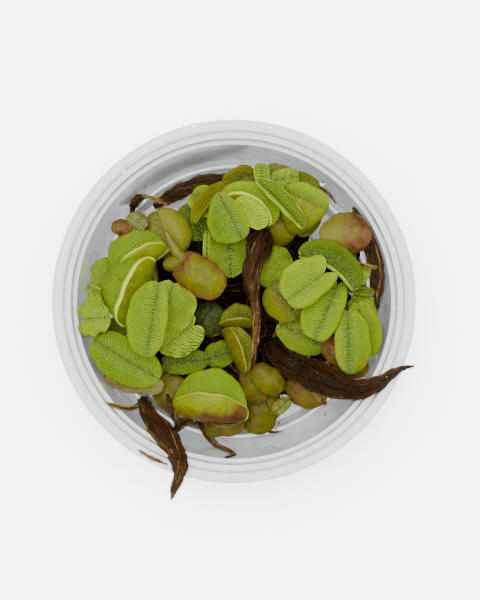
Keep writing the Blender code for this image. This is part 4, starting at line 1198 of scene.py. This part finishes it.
drops = dict(
    onCup=[(-8.2, 36.2, 28.0, 0.55), (-22.6, 26.5, 28.0, 0.45), (18.4, 24.7, 20.6, 0.5),
           (33.7, 10.9, 20.7, 0.6)],
    wallCount=44, wallSize=(0.12, 0.36), wallReach=(28.4, 32.6), baseEdge=29.4,
    flatness=0.35, wetLeaves=("middle_leaf_2", "right_leaf_8"), wetCount=60, wetSize=(0.05, 0.12),
    wetRoots=("middle_root", "right_root", "front_root"), beadCount=60, beadSize=(0.06, 0.15),
)


def waterFinish():
    made, tree, shader = startMaterial("waterDrops", Roughness=0.02, IOR=1.33, Transmission_Weight=1.0)
    tree.links.new(blendColour(tree, cloud(tree, 0.5), colour(250, 252, 252), colour(255, 255, 255)),
                   shader.inputs["Base Color"])
    return made


def addDome(strands, at, radius, height, up=(0.0, 0.0, 1.0), sides=14, rings=5):
    # a closed low dome, made as a tube that narrows to its top
    up = np.array(up) / np.linalg.norm(up)
    angle = np.linspace(0.0, math.pi / 2 * 0.97, rings)
    run = np.array(at) + up * np.sin(angle)[:, None] * height
    strands.add(run, radius * np.cos(angle), sides=sides)


def addDrops():
    strands = Strands()
    for x, y, z, radius in drops["onCup"]:
        addDome(strands, (x, y, z), radius, radius * drops["flatness"])
    random = np.random.default_rng(9)
    for _ in range(drops["wallCount"]):
        angle, radius = random.uniform(math.pi, turn), random.uniform(*drops["wallReach"])
        across, up = math.cos(angle), math.sin(angle)
        size = random.uniform(*drops["wallSize"])
        lean = 0.2 if radius > drops["baseEdge"] else 5.0
        at = (radius * across, radius * up, wallHeight(radius))
        addDome(strands, at, size, size * 0.5, (-across, -up, lean), 10, 4)
    strands.place("dropsOnCup", "water", "cup")
    beads = Strands()
    for name in drops["wetLeaves"]:
        one = leaves[name]
        surface, rounded, _ = leafSurface(one, *blade["fineGrid"])
        top = leafFaces(one, surface, rounded, blade["thickness"])[0] + solidShift(name, one)
        normal = surfaceNormals(top)
        for _ in range(drops["wetCount"]):
            row, column = random.integers(6, top.shape[0] - 6), random.integers(6, top.shape[1] - 6)
            size = random.uniform(*drops["wetSize"])
            up = normal[row, column]
            addDome(beads, top[row, column] - up * 0.02, size, size * 0.6, up, 8, 4)
    beads.place("dropsOnLeaves", "water", "olive_leaf")
    beads = Strands()
    for name in drops["wetRoots"]:
        run, radii = smoothRun(roots[name]["points"], roots[name]["radii"], 60)
        first, second = crossAxes(run)
        for _ in range(drops["beadCount"]):
            at, around = random.integers(2, 56), random.uniform(0, turn)
            spoke = first[at] * math.cos(around) + second[at] * math.sin(around)
            if spoke[2] > 0:
                size = random.uniform(*drops["beadSize"])
                addDome(beads, run[at] + spoke * radii[at], size, size * 0.7, spoke, 8, 4)
    beads.place("dropsOnRoots", "water", "root")
    print("drops made")


# Bits of dead leaf and root on the cup

debris = {
    "rimSliver": bundle([(-19.5, -30.4, 28.2), (-16.6, -32.2, 28.4), (-13.6, -33.4, 28.3)],
                        [0.3, 0.45, 0.2],
                        strands=7, tan=0.8, loose=0.06, tone=0.9),
    "backSliver": bundle([(17.6, 24.6, 14.0), (19.8, 23.2, 14.2), (21.6, 20.8, 14.4)], [0.2, 0.5, 0.15],
                         strands=5, tan=1.0, loose=0.04, tone=0.8),
    "frontSliver": bundle([(6.6, -28.3, 3.2), (8.6, -28.5, 3.1), (11.0, -28.2, 3.3)], [0.2, 0.32, 0.14],
                          strands=4, tan=0.7, loose=0.04, tone=0.7),
}

specks = dict(places=[(30.5, -23.2), (-32.6, 4.8), (-7.1, 30.9), (-1.0, 29.7), (1.9, 31.1), (22.4, -22.8),
                      (15.7, -24.9), (-12.2, -30.3), (4.5, -31.0), (-25.3, 14.8)],
              size=0.3, count=90, reach=(27.0, 32.6), inward=0.985)


def debrisFinish():
    made, tree, shader = startMaterial("debris", Roughness=0.5)
    skin = blendColour(tree, cloud(tree, 0.8, 3.0), colour(36, 26, 14), colour(60, 48, 28))
    tree.links.new(skin, shader.inputs["Base Color"])
    addBump(tree, shader, cloud(tree, 3.0), 0.05)
    return made


def wallHeight(radius):
    # how high the inside of the cup is at a radius
    c = cup
    inner = [(0.0, c["baseThickness"]),
             (c["baseRadius"] - c["wall"] - c["footRound"], c["baseThickness"]),
             (c["baseRadius"] - c["wall"], c["baseThickness"] + c["footRound"]),
             (c["ledgeRadius"] - c["wall"], c["ledgeHeight"]),
             (c["stepRadius"] - c["wall"], c["stepHeight"])]
    radii, heights = np.array(inner).T
    return float(np.interp(radius, radii, heights))


def addDebris():
    for seed, (name, one) in enumerate(debris.items()):
        addBundle(name, one, 400 + seed)
    random = np.random.default_rng(5)
    bits = Strands()
    places = list(specks["places"])
    for _ in range(specks["count"]):
        angle, radius = random.uniform(0, turn), random.uniform(*specks["reach"])
        places.append((radius * math.cos(angle), radius * math.sin(angle)))
    for x, y in places:
        radius = math.hypot(x, y)
        inward = specks["inward"]
        at = (x * inward, y * inward, wallHeight(radius * inward) + 0.05)
        size = specks["size"] * random.uniform(0.35, 1.0)
        addDome(bits, at, size, size * 0.8, (-x, -y, radius), sides=6, rings=3)
    bits.place("specks", "debris", "root")
    print("debris made")


# The floor, the light and the camera

studio = dict(floorSize=2.4, floorColour=colour(250, 250, 250), zenith=(1.0, 1.0, 1.0, 1.0),
              horizon=(0.85, 0.85, 0.85, 1.0), worldStrength=4.8, keyPlace=(-0.1, 0.17, 0.85),
              keySize=0.4,
              keyPower=18.0, fillPlace=(0.2, 0.1, 0.8), fillSize=0.12, fillPower=2.0)
camera = dict(place=(1.23, 0.33, 428.0), lens=117.0, sensor=36.0)


def addStage():
    mesh = bpy.data.meshes.new("floor")
    half = studio["floorSize"] / 2
    corners = [(-half, -half, 0), (half, -half, 0), (half, half, 0), (-half, half, 0)]
    mesh.from_pydata(corners, [], [(0, 1, 2, 3)])
    floor = bpy.data.objects.new("floor", mesh)
    bpy.context.scene.collection.objects.link(floor)
    made, tree, shader = startMaterial("paleFloor", Roughness=0.6)
    shader.inputs["Base Color"].default_value = studio["floorColour"]
    mesh.materials.append(made)
    world = bpy.data.worlds.new("studio")
    world.use_nodes = True
    background = world.node_tree.nodes["Background"]
    sky = world.node_tree
    height = parts(sky, shaderNode(sky, "TexCoord", {}, output="Generated"))[2]
    sky.links.new(blendColour(sky, fade(sky, height, -0.1, 0.6), studio["horizon"], studio["zenith"]),
                  background.inputs["Color"])
    background.inputs["Strength"].default_value = studio["worldStrength"]
    bpy.context.scene.world = world
    for name in ("key", "fill"):
        data = bpy.data.lights.new(name, "AREA")
        data.energy = studio[name + "Power"]
        data.size = studio[name + "Size"]
        light = bpy.data.objects.new(name, data)
        light.location = studio[name + "Place"]
        light.rotation_euler = Vector(studio[name + "Place"]).to_track_quat("Z", "Y").to_euler()
        bpy.context.scene.collection.objects.link(light)
    print("floor and lights made")


def addCamera():
    data = bpy.data.cameras.new("camera")
    data.lens = camera["lens"]
    data.sensor_width = camera["sensor"]
    data.clip_end = 10.0
    made = bpy.data.objects.new("camera", data)
    made.location = Vector(camera["place"]) * mm
    bpy.context.scene.collection.objects.link(made)
    bpy.context.scene.camera = made


addCup()
addLeaves()
addRoots()
addStems()
addDrops()
addDebris()
addStage()
addCamera()
